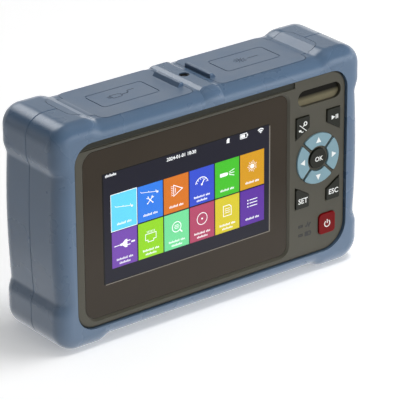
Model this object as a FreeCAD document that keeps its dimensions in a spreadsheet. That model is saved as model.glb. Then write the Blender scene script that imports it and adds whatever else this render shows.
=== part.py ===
"""Handheld optical time domain reflectometer.

Two moulded half shells with proud corner bumpers hold a touch display, a keypad, the boards, the
optical module and the battery. Two rubber flaps in the top cover the socket trays, and a tilt
stand folds out of the back. Frame: origin at the bottom centre of the whole instrument, +Z up,
the display faces -Y. All sizes are millimetres.
"""
import FreeCAD, Part
import os
import re

import Sketcher

Vector = FreeCAD.Vector

SIZES = {
    "Housing": {
        "housing_depth": 46.8,
        "wall": 2.5,
        "roof": 5.0,
        "side_step": 1.7,
        "top_step": 2.2,
        "bottom_step": 2.5,
        "side_bow": 1.1,
        "top_bumper_length": 20.8,
        "bottom_bumper_length": 23.6,
        "upper_bumper_height": 18.6,
        "lower_bumper_height": 19.6,
        "bumper_slope": 5.0,
        "top_corner_radius": 10.0,
        "bottom_corner_radius": 11.0,
        "shoulder_radius": 9.0,
        "slope_foot_radius": 4.0,
        "front_edge_radius": 6.9,
        "rear_edge_radius": 7.6,
        "seam_chamfer": 0.35,
        "cavity_corner_radius": 6.0,
        "rib_half": 3.2,
        "rib_foot": 5.4,
        "rib_height": 0.9,
        "rib_overrun": 0.5,
        "rib_end_slope": 0.8,
    },
    "Case screws": {
        "boss_inset": 3.4,
        "boss_radius": 4.0,
        "screw_radius": 1.5,
        "screw_clearance": 0.2,
        "pilot_clearance": 0.05,
        "screw_head_radius": 2.8,
        "screw_head_height": 2.0,
        "screw_sink": 4.5,
        "screw_grip": 10.0,
        "screw_tip_room": 2.0,
        "driver_radius": 1.1,
        "driver_depth": 1.2,
    },
    "Front bezel": {
        "bezel_side": 9.9,
        "bezel_bottom": 9.4,
        "bezel_crown": 9.7,
        "bezel_recess": 1.1,
        "bezel_thickness": 4.0,
        "bezel_top_radius": 9.6,
        "bezel_bottom_radius": 13.0,
        "bezel_foot_radius": 9.7,
        "bezel_rim_rounding": 1.2,
        "bezel_slope_width": 1.0,
        "brow_depth": 0.6,
        "brow_rounding": 0.5,
        "brow_rim": 1.9,
        "brow_reach": 3.8,
        "bezel_clearance": 0.2,
        "ledge_width": 2.0,
        "ledge_thickness": 2.5,
        "gasket_thickness": 0.4,
        "gasket_width": 1.6,
    },
    "Display": {
        "glass_rim": 5.55,
        "glass_foot_rim": 3.9,
        "glass_head_rim": 5.5,
        "glass_side_border": 10.68,
        "glass_low_border": 15.12,
        "glass_high_border": 12.62,
        "glass_thickness": 1.8,
        "glass_recess": 1.0,
        "glass_left_radius": 6.0,
        "glass_right_radius": 4.5,
        "glass_clearance": 0.15,
        "active_width": 95.04,
        "active_height": 53.86,
        "panel_side_rim": 5.23,
        "panel_end_rim": 6.67,
        "panel_window_sink": 0.2,
        "panel_thickness": 3.0,
        "panel_clearance": 0.5,
        "cushion_thickness": 1.1,
        "cushion_width": 4.0,
        "frame_thickness": 1.0,
        "frame_gap": 1.6,
        "frame_overlap": 1.8,
        "frame_corner_radius": 6.5,
        "standoff_radius": 2.4,
        "standoff_inset": 6.0,
    },
    "Badge": {
        "badge_shift": 0.85,
        "badge_inset": 10.0,
        "badge_width": 25.9,
        "badge_height": 8.1,
        "badge_sink": 1.6,
        "badge_plate_thickness": 0.6,
        "badge_clearance": 0.1,
        "badge_roundness": 0.98,
    },
    "Keys": {
        "keypad_width": 34.75,
        "keypad_inset": 16.9,
        "keypad_rise": 3.45,
        "key_outer": 13.35,
        "key_inner": 5.3,
        "key_reach": 23.3,
        "key_long_end": 12.2,
        "key_short_end": 17.1,
        "key_corner_radius": 0.8,
        "key_rise": 0.8,
        "key_edge_rounding": 0.35,
        "key_clearance": 0.2,
        "key_travel": 0.8,
        "flange_width": 0.9,
        "flange_thickness": 0.8,
        "flange_gap": 0.3,
        "plunger_radius": 1.5,
        "pad_radius": 12.7,
        "pad_hole_radius": 6.3,
        "pad_gap": 1.5,
        "enter_radius": 5.0,
        "power_shift": 5.9,
        "power_rise": 14.0,
        "power_width": 10.0,
        "power_height": 10.6,
        "power_corner_radius": 2.0,
        "lamp_shift": 9.85,
        "lamp_drop": 0.2,
        "lamp_pitch": 4.6,
        "lamp_width": 2.6,
        "lamp_height": 1.3,
        "lamp_depth": 5.0,
        "lamp_clearance": 0.1,
        "plunger_length": 0.6,
        "switch_radius": 2.6,
        "switch_height": 0.5,
        "switch_room": 0.2,
        "key_board_thickness": 1.2,
        "key_board_reach": 15.4,
        "key_board_rise": 3.6,
        "key_board_room": 1.4,
        "post_radius": 1.6,
        "post_inset": 2.4,
        "post_reach": 21.0,
        "post_shift": 4.4,
    },
    "Flaps": {
        "flap_inner": 7.4,
        "flap_edge": 5.4,
        "flap_thickness": 2.2,
        "flap_clearance": 0.25,
        "flap_floor_gap": 0.2,
        "flap_inner_radius": 3.5,
        "flap_outer_radius": 4.0,
        "flap_shoulder": 1.8,
        "hinge_inset": 1.45,
        "hinge_roll": 0.6,
        "hinge_gap": 0.4,
        "tongue_step": 5.5,
        "tongue_reach": 3.6,
        "tongue_radius": 6.0,
        "lip_inner": 7.7,
        "lip_width": 3.3,
        "lip_crest": 1.8,
        "lip_half": 9.5,
        "lip_height": 2.0,
        "lip_rounding": 0.7,
        "frame_line_width": 32.0,
        "frame_line_depth": 16.2,
        "frame_line_radius": 2.2,
        "frame_line_stroke": 0.5,
        "frame_line_sink": 0.35,
        "skirt_height": 2.4,
        "skirt_wall": 1.2,
        "skirt_clearance": 0.4,
    },
    "Socket trays": {
        "tray_inner": 14.0,
        "tray_land": 5.0,
        "tray_wall": 1.2,
        "tray_sink": 4.9,
        "tray_flange": 2.2,
        "tray_flange_side": 0.8,
        "socket_clearance": 0.15,
        "jack_near": 22.4,
        "jack_pitch": 17.1,
        "jack_width": 15.9,
        "jack_depth": 13.2,
        "jack_length": 20.0,
        "jack_rise": 1.2,
        "jack_mouth_width": 11.8,
        "jack_mouth_depth": 6.8,
        "jack_mouth_length": 12.0,
        "jack_latch_width": 6.0,
        "jack_latch_depth": 2.2,
        "charge_x": 51.0,
        "charge_width": 9.1,
        "charge_depth": 3.4,
        "charge_shell": 0.35,
        "charge_length": 7.6,
        "charge_rise": 0.6,
        "charge_tongue": 0.35,
        "charge_roundness": 0.98,
        "optic_near": 21.0,
        "optic_pitch": 13.0,
        "ferrule_radius": 1.25,
        "ferrule_depth": 14.0,
        "sleeve_radius": 2.2,
        "barrel_radius": 4.0,
        "barrel_bore": 3.1,
        "barrel_rise": 6.2,
        "barrel_pit": 4.6,
        "key_slot_width": 2.1,
        "key_slot_depth": 2.0,
        "key_slot_overrun": 1.0,
        "optic_flange_radius": 5.9,
        "optic_flange_thickness": 1.4,
        "optic_tail_radius": 3.4,
        "optic_tail_length": 10.0,
    },
    "Torch": {
        "torch_radius": 2.5,
        "torch_lens_clearance": 0.1,
        "torch_lens_sink": 1.6,
        "torch_flange_radius": 3.6,
        "torch_flange_thickness": 1.2,
        "torch_board_width": 18.0,
        "torch_board_depth": 10.0,
        "torch_board_thickness": 1.2,
    },
    "Boards": {
        "board_left_room": 14.05,
        "board_right_room": 16.05,
        "board_low_room": 9.0,
        "board_high_room": 18.9,
        "board_thickness": 1.6,
        "board_gap": 3.9,
        "shield_inset": 30.0,
        "shield_drop": 18.0,
        "shield_width": 34.0,
        "shield_height": 26.0,
        "shield_depth": 3.2,
        "chip_size": 9.0,
        "chip_depth": 1.2,
        "chip_pitch": 13.0,
        "sounder_inset": 12.0,
        "sounder_rise": 10.0,
        "sounder_radius": 6.0,
        "sounder_depth": 4.2,
        "optics_right_room": 6.0,
        "optics_top_room": 4.0,
        "optics_width": 58.0,
        "optics_height": 40.0,
        "optics_battery_room": 1.8,
        "optics_foot": 3.2,
        "optics_foot_radius": 2.5,
        "optics_foot_inset": 5.0,
    },
    "Battery": {
        "well_depth": 4.0,
        "well_floor": 3.0,
        "well_margin": 5.0,
        "well_corner_radius": 2.5,
        "battery_hang": 38.5,
        "battery_width": 53.2,
        "battery_height": 34.2,
        "battery_depth": 11.6,
        "battery_play": 0.4,
        "battery_seat_gap": 0.2,
        "battery_corner_radius": 2.0,
        "cradle_wall": 1.5,
        "cradle_length": 8.4,
        "cover_margin": 3.0,
        "cover_screw_land": 6.0,
        "cover_thickness": 1.5,
        "cover_clearance": 0.2,
        "cover_radius": 2.0,
        "cover_screw_x": 20.0,
        "cover_screw_radius": 1.0,
        "cover_screw_head": 1.9,
        "cover_screw_head_height": 0.8,
        "cover_head_sink": 0.9,
        "cover_screw_clearance": 0.05,
    },
    "Tilt stand": {
        "stand_width": 68.0,
        "stand_bottom": 24.0,
        "stand_thickness": 3.0,
        "stand_side_gap": 0.5,
        "stand_face_sink": 0.2,
        "stand_corner_radius": 5.0,
        "stand_window_width": 40.0,
        "stand_window_height": 26.0,
        "stand_window_radius": 4.0,
        "stand_window_rise": 12.0,
        "stand_finger_room": 6.0,
        "stand_hinge_drop": 23.1,
        "stand_top_radius": 0.2,
        "stand_hinge_sink": 2.0,
        "knuckle_radius": 1.8,
        "knuckle_room": 0.6,
        "stand_pin_radius": 1.0,
        "stand_pin_clearance": 0.05,
        "stand_pin_seat": 3.0,
    },
}

DERIVED = {
    "glass_width": "active_width + 2 * glass_side_border",
    "glass_height": "active_height + glass_low_border + glass_high_border",
    "bezel_width": "glass_rim + glass_width + keypad_width",
    "bezel_height": "glass_foot_rim + glass_height + glass_head_rim",
    "housing_height": "bezel_bottom + bezel_height + bezel_crown",
    "half_width": "bezel_half + bezel_side",
    "half_depth": "housing_depth / 2",
    "waist_half": "half_width - side_step",
    "waist_top": "housing_height - top_step",
    "cavity_half": "waist_half - wall",
    "cavity_bottom": "bottom_step + wall",
    "cavity_top": "waist_top - roof",
    "bottom_slope_top": "half_width - bottom_bumper_length",
    "top_slope_top": "half_width - top_bumper_length",
    "slope_foot": "top_slope_top - bumper_slope",
    "side_waist_low": "lower_bumper_height + bumper_slope",
    "side_waist_high": "housing_height - upper_bumper_height - bumper_slope",
    "waist_chord": "side_waist_high - side_waist_low",
    "waist_bow_radius": "(waist_chord ^ 2 / 4 + side_bow ^ 2) / (2 * side_bow)",
    "boss_x": "cavity_half - boss_inset",
    "boss_low": "cavity_bottom + boss_inset",
    "boss_high": "cavity_top - boss_inset",
    "head_floor": "half_depth - screw_sink",
    "bezel_half": "bezel_width / 2",
    "bezel_top": "bezel_bottom + bezel_height",
    "bezel_middle": "(bezel_bottom + bezel_top) / 2",
    "bezel_front": "bezel_recess - half_depth",
    "bezel_back": "bezel_front + bezel_thickness",
    "ledge_front": "bezel_back + gasket_thickness",
    "ledge_back": "ledge_front + ledge_thickness",
    "window_half": "bezel_half - ledge_width",
    "window_bottom": "bezel_bottom + ledge_width",
    "window_top": "bezel_top - ledge_width",
    "display_x": "glass_rim + glass_width / 2 - bezel_half",
    "glass_z": "bezel_bottom + glass_foot_rim + glass_height / 2",
    "active_z": "bezel_bottom + glass_foot_rim + glass_low_border + active_height / 2",
    "glass_front": "bezel_front + glass_recess",
    "glass_back": "glass_front + glass_thickness",
    "panel_width": "active_width + 2 * panel_side_rim",
    "panel_height": "active_height + 2 * panel_end_rim",
    "panel_back": "glass_back + panel_thickness",
    "frame_front": "panel_back + cushion_thickness",
    "frame_back": "frame_front + frame_thickness",
    "board_front": "frame_back + board_gap",
    "board_back": "board_front + board_thickness",
    "frame_left": "-(window_half) - frame_overlap",
    "frame_right": "key_board_left - frame_gap",
    "frame_bottom": "window_bottom - frame_overlap",
    "frame_top": "window_top + frame_overlap",
    "flange_front": "bezel_back + flange_gap",
    "flange_back": "flange_front + flange_thickness",
    "switch_top": "flange_back + plunger_length + key_travel + switch_room",
    "key_board_front": "switch_top + switch_height",
    "key_board_left": "keypad_x - key_board_reach",
    "key_board_right": "window_half - key_board_room",
    "key_board_bottom": "window_bottom + key_board_rise",
    "key_board_top": "badge_z - badge_height / 2 - key_board_room",
    "keypad_x": "bezel_half - keypad_inset",
    "keypad_z": "bezel_middle + keypad_rise",
    "key_slant": "(key_short_end - key_long_end) / (key_outer - key_inner)",
    "key_slant_run": "sqrt(1 + key_slant ^ 2)",
    "badge_x": "keypad_x + badge_shift",
    "badge_z": "bezel_top - badge_inset",
    "power_x": "keypad_x + power_shift",
    "power_z": "bezel_bottom + power_rise",
    "lamp_x": "keypad_x - lamp_shift",
    "lamp_z": "power_z - lamp_drop",
    "flap_half_depth": "half_depth - flap_edge",
    "rib_reach": "flap_half_depth + rib_overrun",
    "tongue_half": "flap_half_depth - tongue_step",
    "hinge_x": "slope_foot - hinge_inset",
    "hinge_z": "waist_top - hinge_roll",
    "flap_under": "waist_top - flap_thickness",
    "flap_seat": "flap_under - flap_floor_gap",
    "flap_outer": "hinge_x - flap_shoulder",
    "frame_line_x": "(lip_inner + lip_width + flap_outer) / 2",
    "tray_outer": "flap_outer - tray_land",
    "tray_half": "flap_half_depth - tray_land",
    "tray_floor": "cavity_top - tray_sink",
    "tongue_start": "hinge_x + hinge_roll + hinge_gap",
    "tongue_end": "top_slope_top + tongue_reach",
    "board_left": "board_left_room - cavity_half",
    "board_right": "cavity_half - board_right_room",
    "board_bottom": "cavity_bottom + board_low_room",
    "board_top": "cavity_top - board_high_room",
    "shield_x": "board_left + shield_inset",
    "shield_z": "board_top - shield_drop",
    "sounder_x": "board_left + sounder_inset",
    "sounder_z": "board_bottom + sounder_rise",
    "optics_left": "board_right - optics_right_room - optics_width",
    "optics_bottom": "board_top - optics_top_room - optics_height",
    "optics_front": "board_back + optics_foot",
    "battery_front": "well_floor_front + cover_seat - battery_seat_gap - battery_depth",
    "optics_depth": "battery_front - optics_battery_room - optics_front",
    "stand_hinge_z": "housing_height - stand_hinge_drop",
    "stand_window_bottom": "stand_bottom + stand_window_rise",
    "battery_z": "stand_hinge_z - battery_hang",
    "cover_seat": "well_floor - cover_thickness",
    "well_floor_front": "half_depth - well_depth - well_floor",
    "well_face": "half_depth - well_depth",
    "well_half": "stand_width / 2 + stand_side_gap",
    "well_bottom": "stand_bottom - stand_finger_room",
    "well_top": "stand_hinge_z + knuckle_radius + knuckle_room",
    "battery_bottom": "battery_z - battery_height / 2",
    "battery_top": "battery_z + battery_height / 2",
    "battery_door_half": "battery_width / 2 + battery_play",
    "battery_door_low": "battery_bottom - battery_play",
    "battery_door_high": "battery_top + battery_play",
    "cover_half": "battery_door_half + cover_margin",
    "cover_low": "battery_door_low - cover_margin",
    "cover_high": "battery_door_high + cover_margin + cover_screw_land",
    "cover_screw_z": "battery_door_high + cover_margin / 2 + cover_screw_land / 2",
    "stand_back": "half_depth - stand_face_sink",
    "stand_front": "stand_back - stand_thickness",
    "stand_hinge_y": "half_depth - stand_hinge_sink",
}

doc = FreeCAD.newDocument("reflectometer")
sheet = doc.addObject("Spreadsheet::Sheet", "sizes")


def fill_sheet():
    """Write every driving size to the sheet as a plain number with an alias."""
    row = 1
    for section, sizes in SIZES.items():
        sheet.set("A%d" % row, section)
        row += 1
        for name, value in sizes.items():
            sheet.set("A%d" % row, name)
            sheet.set("B%d" % row, str(value))
            sheet.setAlias("B%d" % row, name)
            row += 1
    doc.recompute()


ALIASES = {name for sizes in SIZES.values() for name in sizes}


def linked(formula):
    """Spell a formula out in references to the sheet's cells."""
    def spelled(match):
        word = match.group(0)
        if word in ALIASES:
            return "sizes." + word
        if word in DERIVED:
            return "(" + linked(DERIVED[word]) + ")"
        return word
    return re.sub(r"[a-z_]+", spelled, str(formula))


def number(formula):
    """The formula's value now."""
    return float(sheet.evalExpression(linked(formula)))


def bind(item, field, formula):
    item.setExpression(field, linked(formula))


# ---------------------------------------------------------------- sketches

def new_body(label):
    body = doc.addObject("PartDesign::Body", label)
    body.Label = label
    return body


def new_sketch(body, plane, height="0"):
    """A sketch on one of the body's own planes, set off along the plane's normal."""
    sketch = body.newObject("Sketcher::SketchObject", "outline")
    support = next(p for p in body.Origin.OriginFeatures if p.Role == plane)
    sketch.AttachmentSupport = [(support, "")]
    sketch.MapMode = "FlatFace"
    bind(sketch, ".AttachmentOffset.Base.z", height)
    return sketch


def pin_point(sketch, side, end, x, y):
    """Tie one end of a drawn side to a place given by two formulas."""
    for kind, formula in (("DistanceX", x), ("DistanceY", y)):
        index = sketch.addConstraint(
            Sketcher.Constraint(kind, -1, 1, side, end, number(formula)))
        bind(sketch, "Constraints[%d]" % index, formula)


def drawn_arc(start, end, radius):
    """An arc that bows out of a counter-clockwise outline, or into it if radius is negative."""
    chord = end - start
    middle = (start + end) * 0.5
    inward = Vector(-chord.y, chord.x, 0).normalize()
    rise = (radius ** 2 - chord.Length ** 2 / 4) ** 0.5
    sign = 1 if radius > 0 else -1
    crown = middle - inward * sign * (abs(radius) - rise)
    if radius > 0:
        return Part.Arc(start, crown, end)
    return Part.Arc(end, crown, start)


def draw_outline(sketch, corners, bows=None):
    """Close an outline through corners; bows gives the radius of each side that is an arc."""
    bows = bows or {}
    points = [Vector(number(x), number(y), 0) for x, y in corners]
    ends = []
    for index, point in enumerate(points):
        following = points[(index + 1) % len(points)]
        radius = number(bows[index]) if index in bows else 0
        if radius:
            side = sketch.addGeometry(drawn_arc(point, following, radius), False)
            ends.append((side, 1, 2) if radius > 0 else (side, 2, 1))
        else:
            side = sketch.addGeometry(Part.LineSegment(point, following), False)
            ends.append((side, 1, 2))
    for index, (side, start, end) in enumerate(ends):
        next_side, next_start, _ = ends[(index + 1) % len(ends)]
        sketch.addConstraint(
            Sketcher.Constraint("Coincident", side, end, next_side, next_start))
        pin_point(sketch, side, start, *corners[index])
    for index, formula in bows.items():
        size = sketch.addConstraint(
            Sketcher.Constraint("Radius", ends[index][0], abs(number(formula))))
        bind(sketch, "Constraints[%d]" % size, "abs(%s)" % formula)


def draw_rectangle(sketch, left, bottom, right, top):
    draw_outline(sketch, [(left, bottom), (right, bottom), (right, top), (left, top)])


def draw_rounded(sketch, left, bottom, right, top, radii):
    """A rectangle with arcs for corners; radii run from bottom left, counter-clockwise."""
    if isinstance(radii, str):
        radii = [radii] * 4
    low_left, low_right, high_right, high_left = radii
    corners = [
        ("%s + %s" % (left, low_left), bottom), ("%s - (%s)" % (right, low_right), bottom),
        (right, "%s + %s" % (bottom, low_right)), (right, "%s - (%s)" % (top, high_right)),
        ("%s - (%s)" % (right, high_right), top), ("%s + %s" % (left, high_left), top),
        (left, "%s - (%s)" % (top, high_left)), (left, "%s + %s" % (bottom, low_left)),
    ]
    draw_outline(sketch, corners, {1: low_right, 3: high_right, 5: high_left, 7: low_left})


def draw_circle(sketch, x, y, radius):
    circle = Part.Circle(Vector(number(x), number(y), 0), Vector(0, 0, 1), number(radius))
    side = sketch.addGeometry(circle, False)
    pin_point(sketch, side, 3, x, y)
    size = sketch.addConstraint(Sketcher.Constraint("Radius", side, number(radius)))
    bind(sketch, "Constraints[%d]" % size, radius)


# ---------------------------------------------------------------- features

def extrude(body, sketch, length, backward=False, centred=False):
    """Add the sketch's outline, run out along its normal, to the body."""
    pad = body.newObject("PartDesign::Pad", "pad")
    pad.Profile = sketch
    pad.Reversed = backward
    pad.Midplane = centred
    bind(pad, "Length", length)
    doc.recompute()
    return pad


def cut(body, sketch, length, backward=False, centred=False):
    """Cut the sketch's outline out of the body, against its normal unless backward."""
    before = body.Shape.Volume
    pocket = body.newObject("PartDesign::Pocket", "pocket")
    pocket.Profile = sketch
    pocket.Reversed = backward
    pocket.Midplane = centred
    bind(pocket, "Length", length)
    doc.recompute()
    if body.Shape.Volume >= before - 1e-6:
        raise RuntimeError("a pocket of %s cuts nothing" % body.Label)
    return pocket


def spin(body, sketch):
    """Turn the sketch's outline round its own vertical axis."""
    turned = body.newObject("PartDesign::Revolution", "turned")
    turned.Profile = sketch
    turned.ReferenceAxis = (sketch, ["V_Axis"])
    turned.Angle = 360
    doc.recompute()
    return turned


def dress(body, kind, field, size, chosen):
    """Fillet or chamfer the edges of the body's last feature that the test chooses."""
    base = body.Tip
    names = ["Edge%d" % (i + 1) for i, edge in enumerate(base.Shape.Edges) if chosen(edge)]
    if not names:
        raise RuntimeError("no edge to dress on %s" % body.Label)
    feature = body.newObject(kind, "dressed")
    feature.Base = (base, names)
    bind(feature, field, size)
    doc.recompute()
    return feature


def fillet(body, radius, chosen):
    return dress(body, "PartDesign::Fillet", "Radius", radius, chosen)


def chamfer(body, size, chosen):
    return dress(body, "PartDesign::Chamfer", "Size", size, chosen)


def along(edge, axis):
    """Whether the edge is straight and parallel to the axis."""
    if edge.Curve.TypeId != "Part::GeomLine":
        return False
    return abs(getattr(edge.Curve.Direction, axis)) > 0.9999


def lies_at(edge, axis, formula):
    """Whether the whole edge lies in the plane across the axis at the formula's place."""
    box = edge.BoundBox
    place = number(formula)
    low = getattr(box, axis.upper() + "Min")
    high = getattr(box, axis.upper() + "Max")
    return abs(low - place) < 1e-3 and abs(high - place) < 1e-3


def corner_near(axis, *places):
    """A test for edges along the axis that pass near one of the places across it."""
    across = [a for a in "xyz" if a != axis]
    spots = [(number(p), number(q)) for p, q in places]

    def chosen(edge):
        if not along(edge, axis):
            return False
        point = edge.valueAt(edge.FirstParameter)
        u, v = (getattr(point, a) for a in across)
        return any(abs(u - p) < 0.01 and abs(v - q) < 0.01 for p, q in spots)
    return chosen


def front_plate(label, left, bottom, right, top, front, thickness, radius=None):
    """A flat piece that faces the front, with rounded corners if radii are given."""
    body = new_body(label)
    sketch = new_sketch(body, "XZ_Plane", "-(%s)" % front)
    if radius:
        draw_rounded(sketch, left, bottom, right, top, radius)
    else:
        draw_rectangle(sketch, left, bottom, right, top)
    extrude(body, sketch, thickness, backward=True)
    return body


def front_circles(body, front, circles):
    sketch = new_sketch(body, "XZ_Plane", "-(%s)" % front)
    for x, z, radius in circles:
        draw_circle(sketch, x, z, radius)
    return sketch


def mirrored(points):
    """The points and their mirror images across the middle plane, as one outline."""
    return points + [("-(%s)" % x, z) for x, z in reversed(points)]


# ---------------------------------------------------------------- housing

CASE_SCREWS = [(x, z) for x in ("boss_x", "-(boss_x)") for z in ("boss_low", "boss_high")]


def housing_outline():
    """One side of the housing seen from the front, bottom to top: waist, bumper, side, bumper, waist."""
    return [
        ("bottom_slope_top - bumper_slope", "bottom_step"),
        ("bottom_slope_top", "0"),
        ("half_width", "0"),
        ("half_width", "lower_bumper_height"),
        ("waist_half", "side_waist_low"),
        ("waist_half", "side_waist_high"),
        ("half_width", "housing_height - upper_bumper_height"),
        ("half_width", "housing_height"),
        ("top_slope_top", "housing_height"),
        ("slope_foot", "waist_top"),
    ]


def housing_half(label, is_front):
    """Half of the moulded housing: outline, rounded edges, seam groove, cavity and screw bosses."""
    body = new_body(label)
    side = housing_outline()
    right_waist = 4
    left_waist = 2 * len(side) - 2 - right_waist
    sketch = new_sketch(body, "XZ_Plane")
    draw_outline(sketch, mirrored(side),
                 {right_waist: "waist_bow_radius", left_waist: "waist_bow_radius"})
    extrude(body, sketch, "half_depth", backward=not is_front)

    def both_sides(*indexes):
        picked = [side[i] for i in indexes]
        return corner_near("y", *picked, *[("-(%s)" % x, z) for x, z in picked])

    fillet(body, "top_corner_radius", both_sides(7))
    fillet(body, "bottom_corner_radius", both_sides(2))
    fillet(body, "shoulder_radius", both_sides(1, 3, 6, 8))
    fillet(body, "slope_foot_radius", both_sides(0, 4, 5, 9))
    face = "-(half_depth)" if is_front else "half_depth"
    edge_radius = "front_edge_radius" if is_front else "rear_edge_radius"
    fillet(body, edge_radius, lambda edge: lies_at(edge, "y", face))
    chamfer(body, "seam_chamfer", lambda edge: lies_at(edge, "y", "0"))

    rib = new_sketch(body, "XZ_Plane")
    draw_outline(rib, [("-(rib_foot)", "waist_top - rib_height"), ("rib_foot", "waist_top - rib_height"),
                       ("rib_foot", "waist_top"), ("rib_half", "waist_top + rib_height"),
                       ("-(rib_half)", "waist_top + rib_height"), ("-(rib_foot)", "waist_top")])
    extrude(body, rib, "rib_reach", backward=not is_front)
    rib_end = "-(rib_reach)" if is_front else "rib_reach"
    chamfer(body, "rib_end_slope", lambda edge: lies_at(edge, "y", rib_end)
            and lies_at(edge, "z", "waist_top + rib_height"))

    cavity = new_sketch(body, "XZ_Plane")
    draw_rounded(cavity, "-(cavity_half)", "cavity_bottom", "cavity_half", "cavity_top",
                 "cavity_corner_radius")
    depth = "-(ledge_back)" if is_front else "half_depth - wall"
    cut(body, cavity, depth, backward=is_front)

    bosses = new_sketch(body, "XZ_Plane")
    for x, z in CASE_SCREWS:
        draw_circle(bosses, x, z, "boss_radius")
    extrude(body, bosses, depth, backward=not is_front)
    return body


def bezel_radii(growth):
    """The bezel's corner radii, grown by a margin; the one below the screen is the tightest."""
    foot, low = "bezel_foot_radius + %s" % growth, "bezel_bottom_radius + %s" % growth
    high = "bezel_top_radius + %s" % growth
    return [foot, low, high, high]


def front_shell_body():
    body = housing_half("front_shell_moulding", True)
    recess = new_sketch(body, "XZ_Plane", "half_depth")
    grown = "bezel_half + bezel_clearance"
    low, high = "bezel_bottom - bezel_clearance", "bezel_top + bezel_clearance"
    draw_rounded(recess, "-(%s)" % grown, low, grown, high, bezel_radii("bezel_clearance"))
    cut(body, recess, "half_depth + ledge_front")
    window = new_sketch(body, "XZ_Plane", "-(ledge_front)")
    draw_rounded(window, "-(window_half)", "window_bottom", "window_half", "window_top",
                 bezel_radii("-(ledge_width)"))
    cut(body, window, "ledge_thickness")
    pilots = new_sketch(body, "XZ_Plane")
    for x, z in CASE_SCREWS:
        draw_circle(pilots, x, z, "screw_radius + pilot_clearance")
    cut(body, pilots, "screw_grip + screw_tip_room", backward=True)
    return body


def rear_shell_body():
    body = housing_half("rear_shell_moulding", False)
    floor = new_sketch(body, "XZ_Plane", "-(well_floor_front)")
    draw_rectangle(floor, "-(well_half + well_margin)", "well_bottom - well_margin",
                   "well_half + well_margin", "well_top + well_margin")
    extrude(body, floor, "well_floor + well_depth - wall / 2", backward=True)
    cradle = new_sketch(body, "XZ_Plane", "-(well_floor_front + well_floor / 2)")
    draw_rectangle(cradle, "-(battery_door_half + cradle_wall)", "battery_door_low - cradle_wall",
                   "battery_door_half + cradle_wall", "battery_door_high + cradle_wall")
    extrude(body, cradle, "cradle_length + well_floor / 2")
    door = new_sketch(body, "XZ_Plane", "-(half_depth)")
    draw_rectangle(door, "-(battery_door_half)", "battery_door_low", "battery_door_half", "battery_door_high")
    cut(body, door, "well_depth + well_floor + cradle_length", backward=True)
    rebate = new_sketch(body, "XZ_Plane", "-(half_depth)")
    grown = "cover_half + cover_clearance"
    draw_rectangle(rebate, "-(%s)" % grown, "cover_low - cover_clearance",
                   grown, "cover_high + cover_clearance")
    cut(body, rebate, "well_depth + cover_thickness", backward=True)
    well = new_sketch(body, "XZ_Plane", "-(half_depth)")
    draw_rounded(well, "-(well_half)", "well_bottom", "well_half", "well_top",
                 ["well_corner_radius", "well_corner_radius", "knuckle_room", "knuckle_room"])
    cut(body, well, "well_depth", backward=True)
    cover_holes = front_circles(body, "well_face",
                                [(x, "cover_screw_z", "cover_screw_radius + cover_screw_clearance")
                                 for x in COVER_SCREWS])
    cut(body, cover_holes, "well_floor", backward=True)
    shanks = new_sketch(body, "XZ_Plane")
    for x, z in CASE_SCREWS:
        draw_circle(shanks, x, z, "screw_radius + screw_clearance")
    cut(body, shanks, "half_depth")
    sinks = front_circles(body, "half_depth",
                          [(x, z, "screw_head_radius + screw_clearance") for x, z in CASE_SCREWS])
    cut(body, sinks, "screw_sink", backward=True)
    pin = new_sketch(body, "YZ_Plane")
    draw_circle(pin, "stand_hinge_y", "stand_hinge_z", "stand_pin_radius + stand_pin_clearance")
    cut(body, pin, "2 * (well_half + stand_pin_seat)", centred=True)
    return body


def flap_plan(sketch, side, growth, end):
    """The flap seen from above: a broad lid with a narrower hinge tab at its outer end."""
    inner = "%d * (flap_inner - %s)" % (side, growth)
    outer = "%d * (flap_outer + %s)" % (side, growth)
    end = "%d * (%s)" % (side, end)
    half = "flap_half_depth + %s" % growth
    tab = "tongue_half - hinge_gap + %s" % growth
    draw_outline(sketch, [(inner, "-(%s)" % half), (outer, "-(%s)" % half), (outer, "-(%s)" % tab),
                          (end, "-(%s)" % tab), (end, tab), (outer, tab), (outer, half), (inner, half)])


def round_flap_corners(body, side, growth):
    half = "flap_half_depth + %s" % growth
    inner = "%d * (flap_inner - %s)" % (side, growth)
    outer = "%d * (flap_outer + %s)" % (side, growth)
    fillet(body, "flap_inner_radius + %s" % growth, corner_near("z", (inner, half), (inner, "-(%s)" % half)))
    fillet(body, "flap_outer_radius + %s" % growth, corner_near("z", (outer, half), (outer, "-(%s)" % half)))


def tongue_form(body, side, growth, drop, headroom):
    """The flap's fixed tongue: it starts beside the hinge and climbs the bumper's slope."""
    start = "tongue_start - %s" % growth
    end = "tongue_end + %s" % growth
    surface = [(start, "waist_top"), ("slope_foot", "waist_top"), ("top_slope_top", "housing_height"),
               (end, "housing_height")]
    top = [(x, "%s + %s" % (z, headroom)) for x, z in surface]
    under = [(x, "%s - %s" % (z, drop)) for x, z in reversed(surface)]
    sketch = new_sketch(body, "XZ_Plane")
    draw_outline(sketch, [("%d * (%s)" % (side, x), z) for x, z in top + under])
    extrude(body, sketch, "2 * (tongue_half + %s)" % growth, centred=True)
    half = "tongue_half + %s" % growth
    tip = "%d * (%s)" % (side, end)
    fillet(body, "tongue_radius + %s" % growth, corner_near("z", (tip, half), (tip, "-(%s)" % half)))


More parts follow.
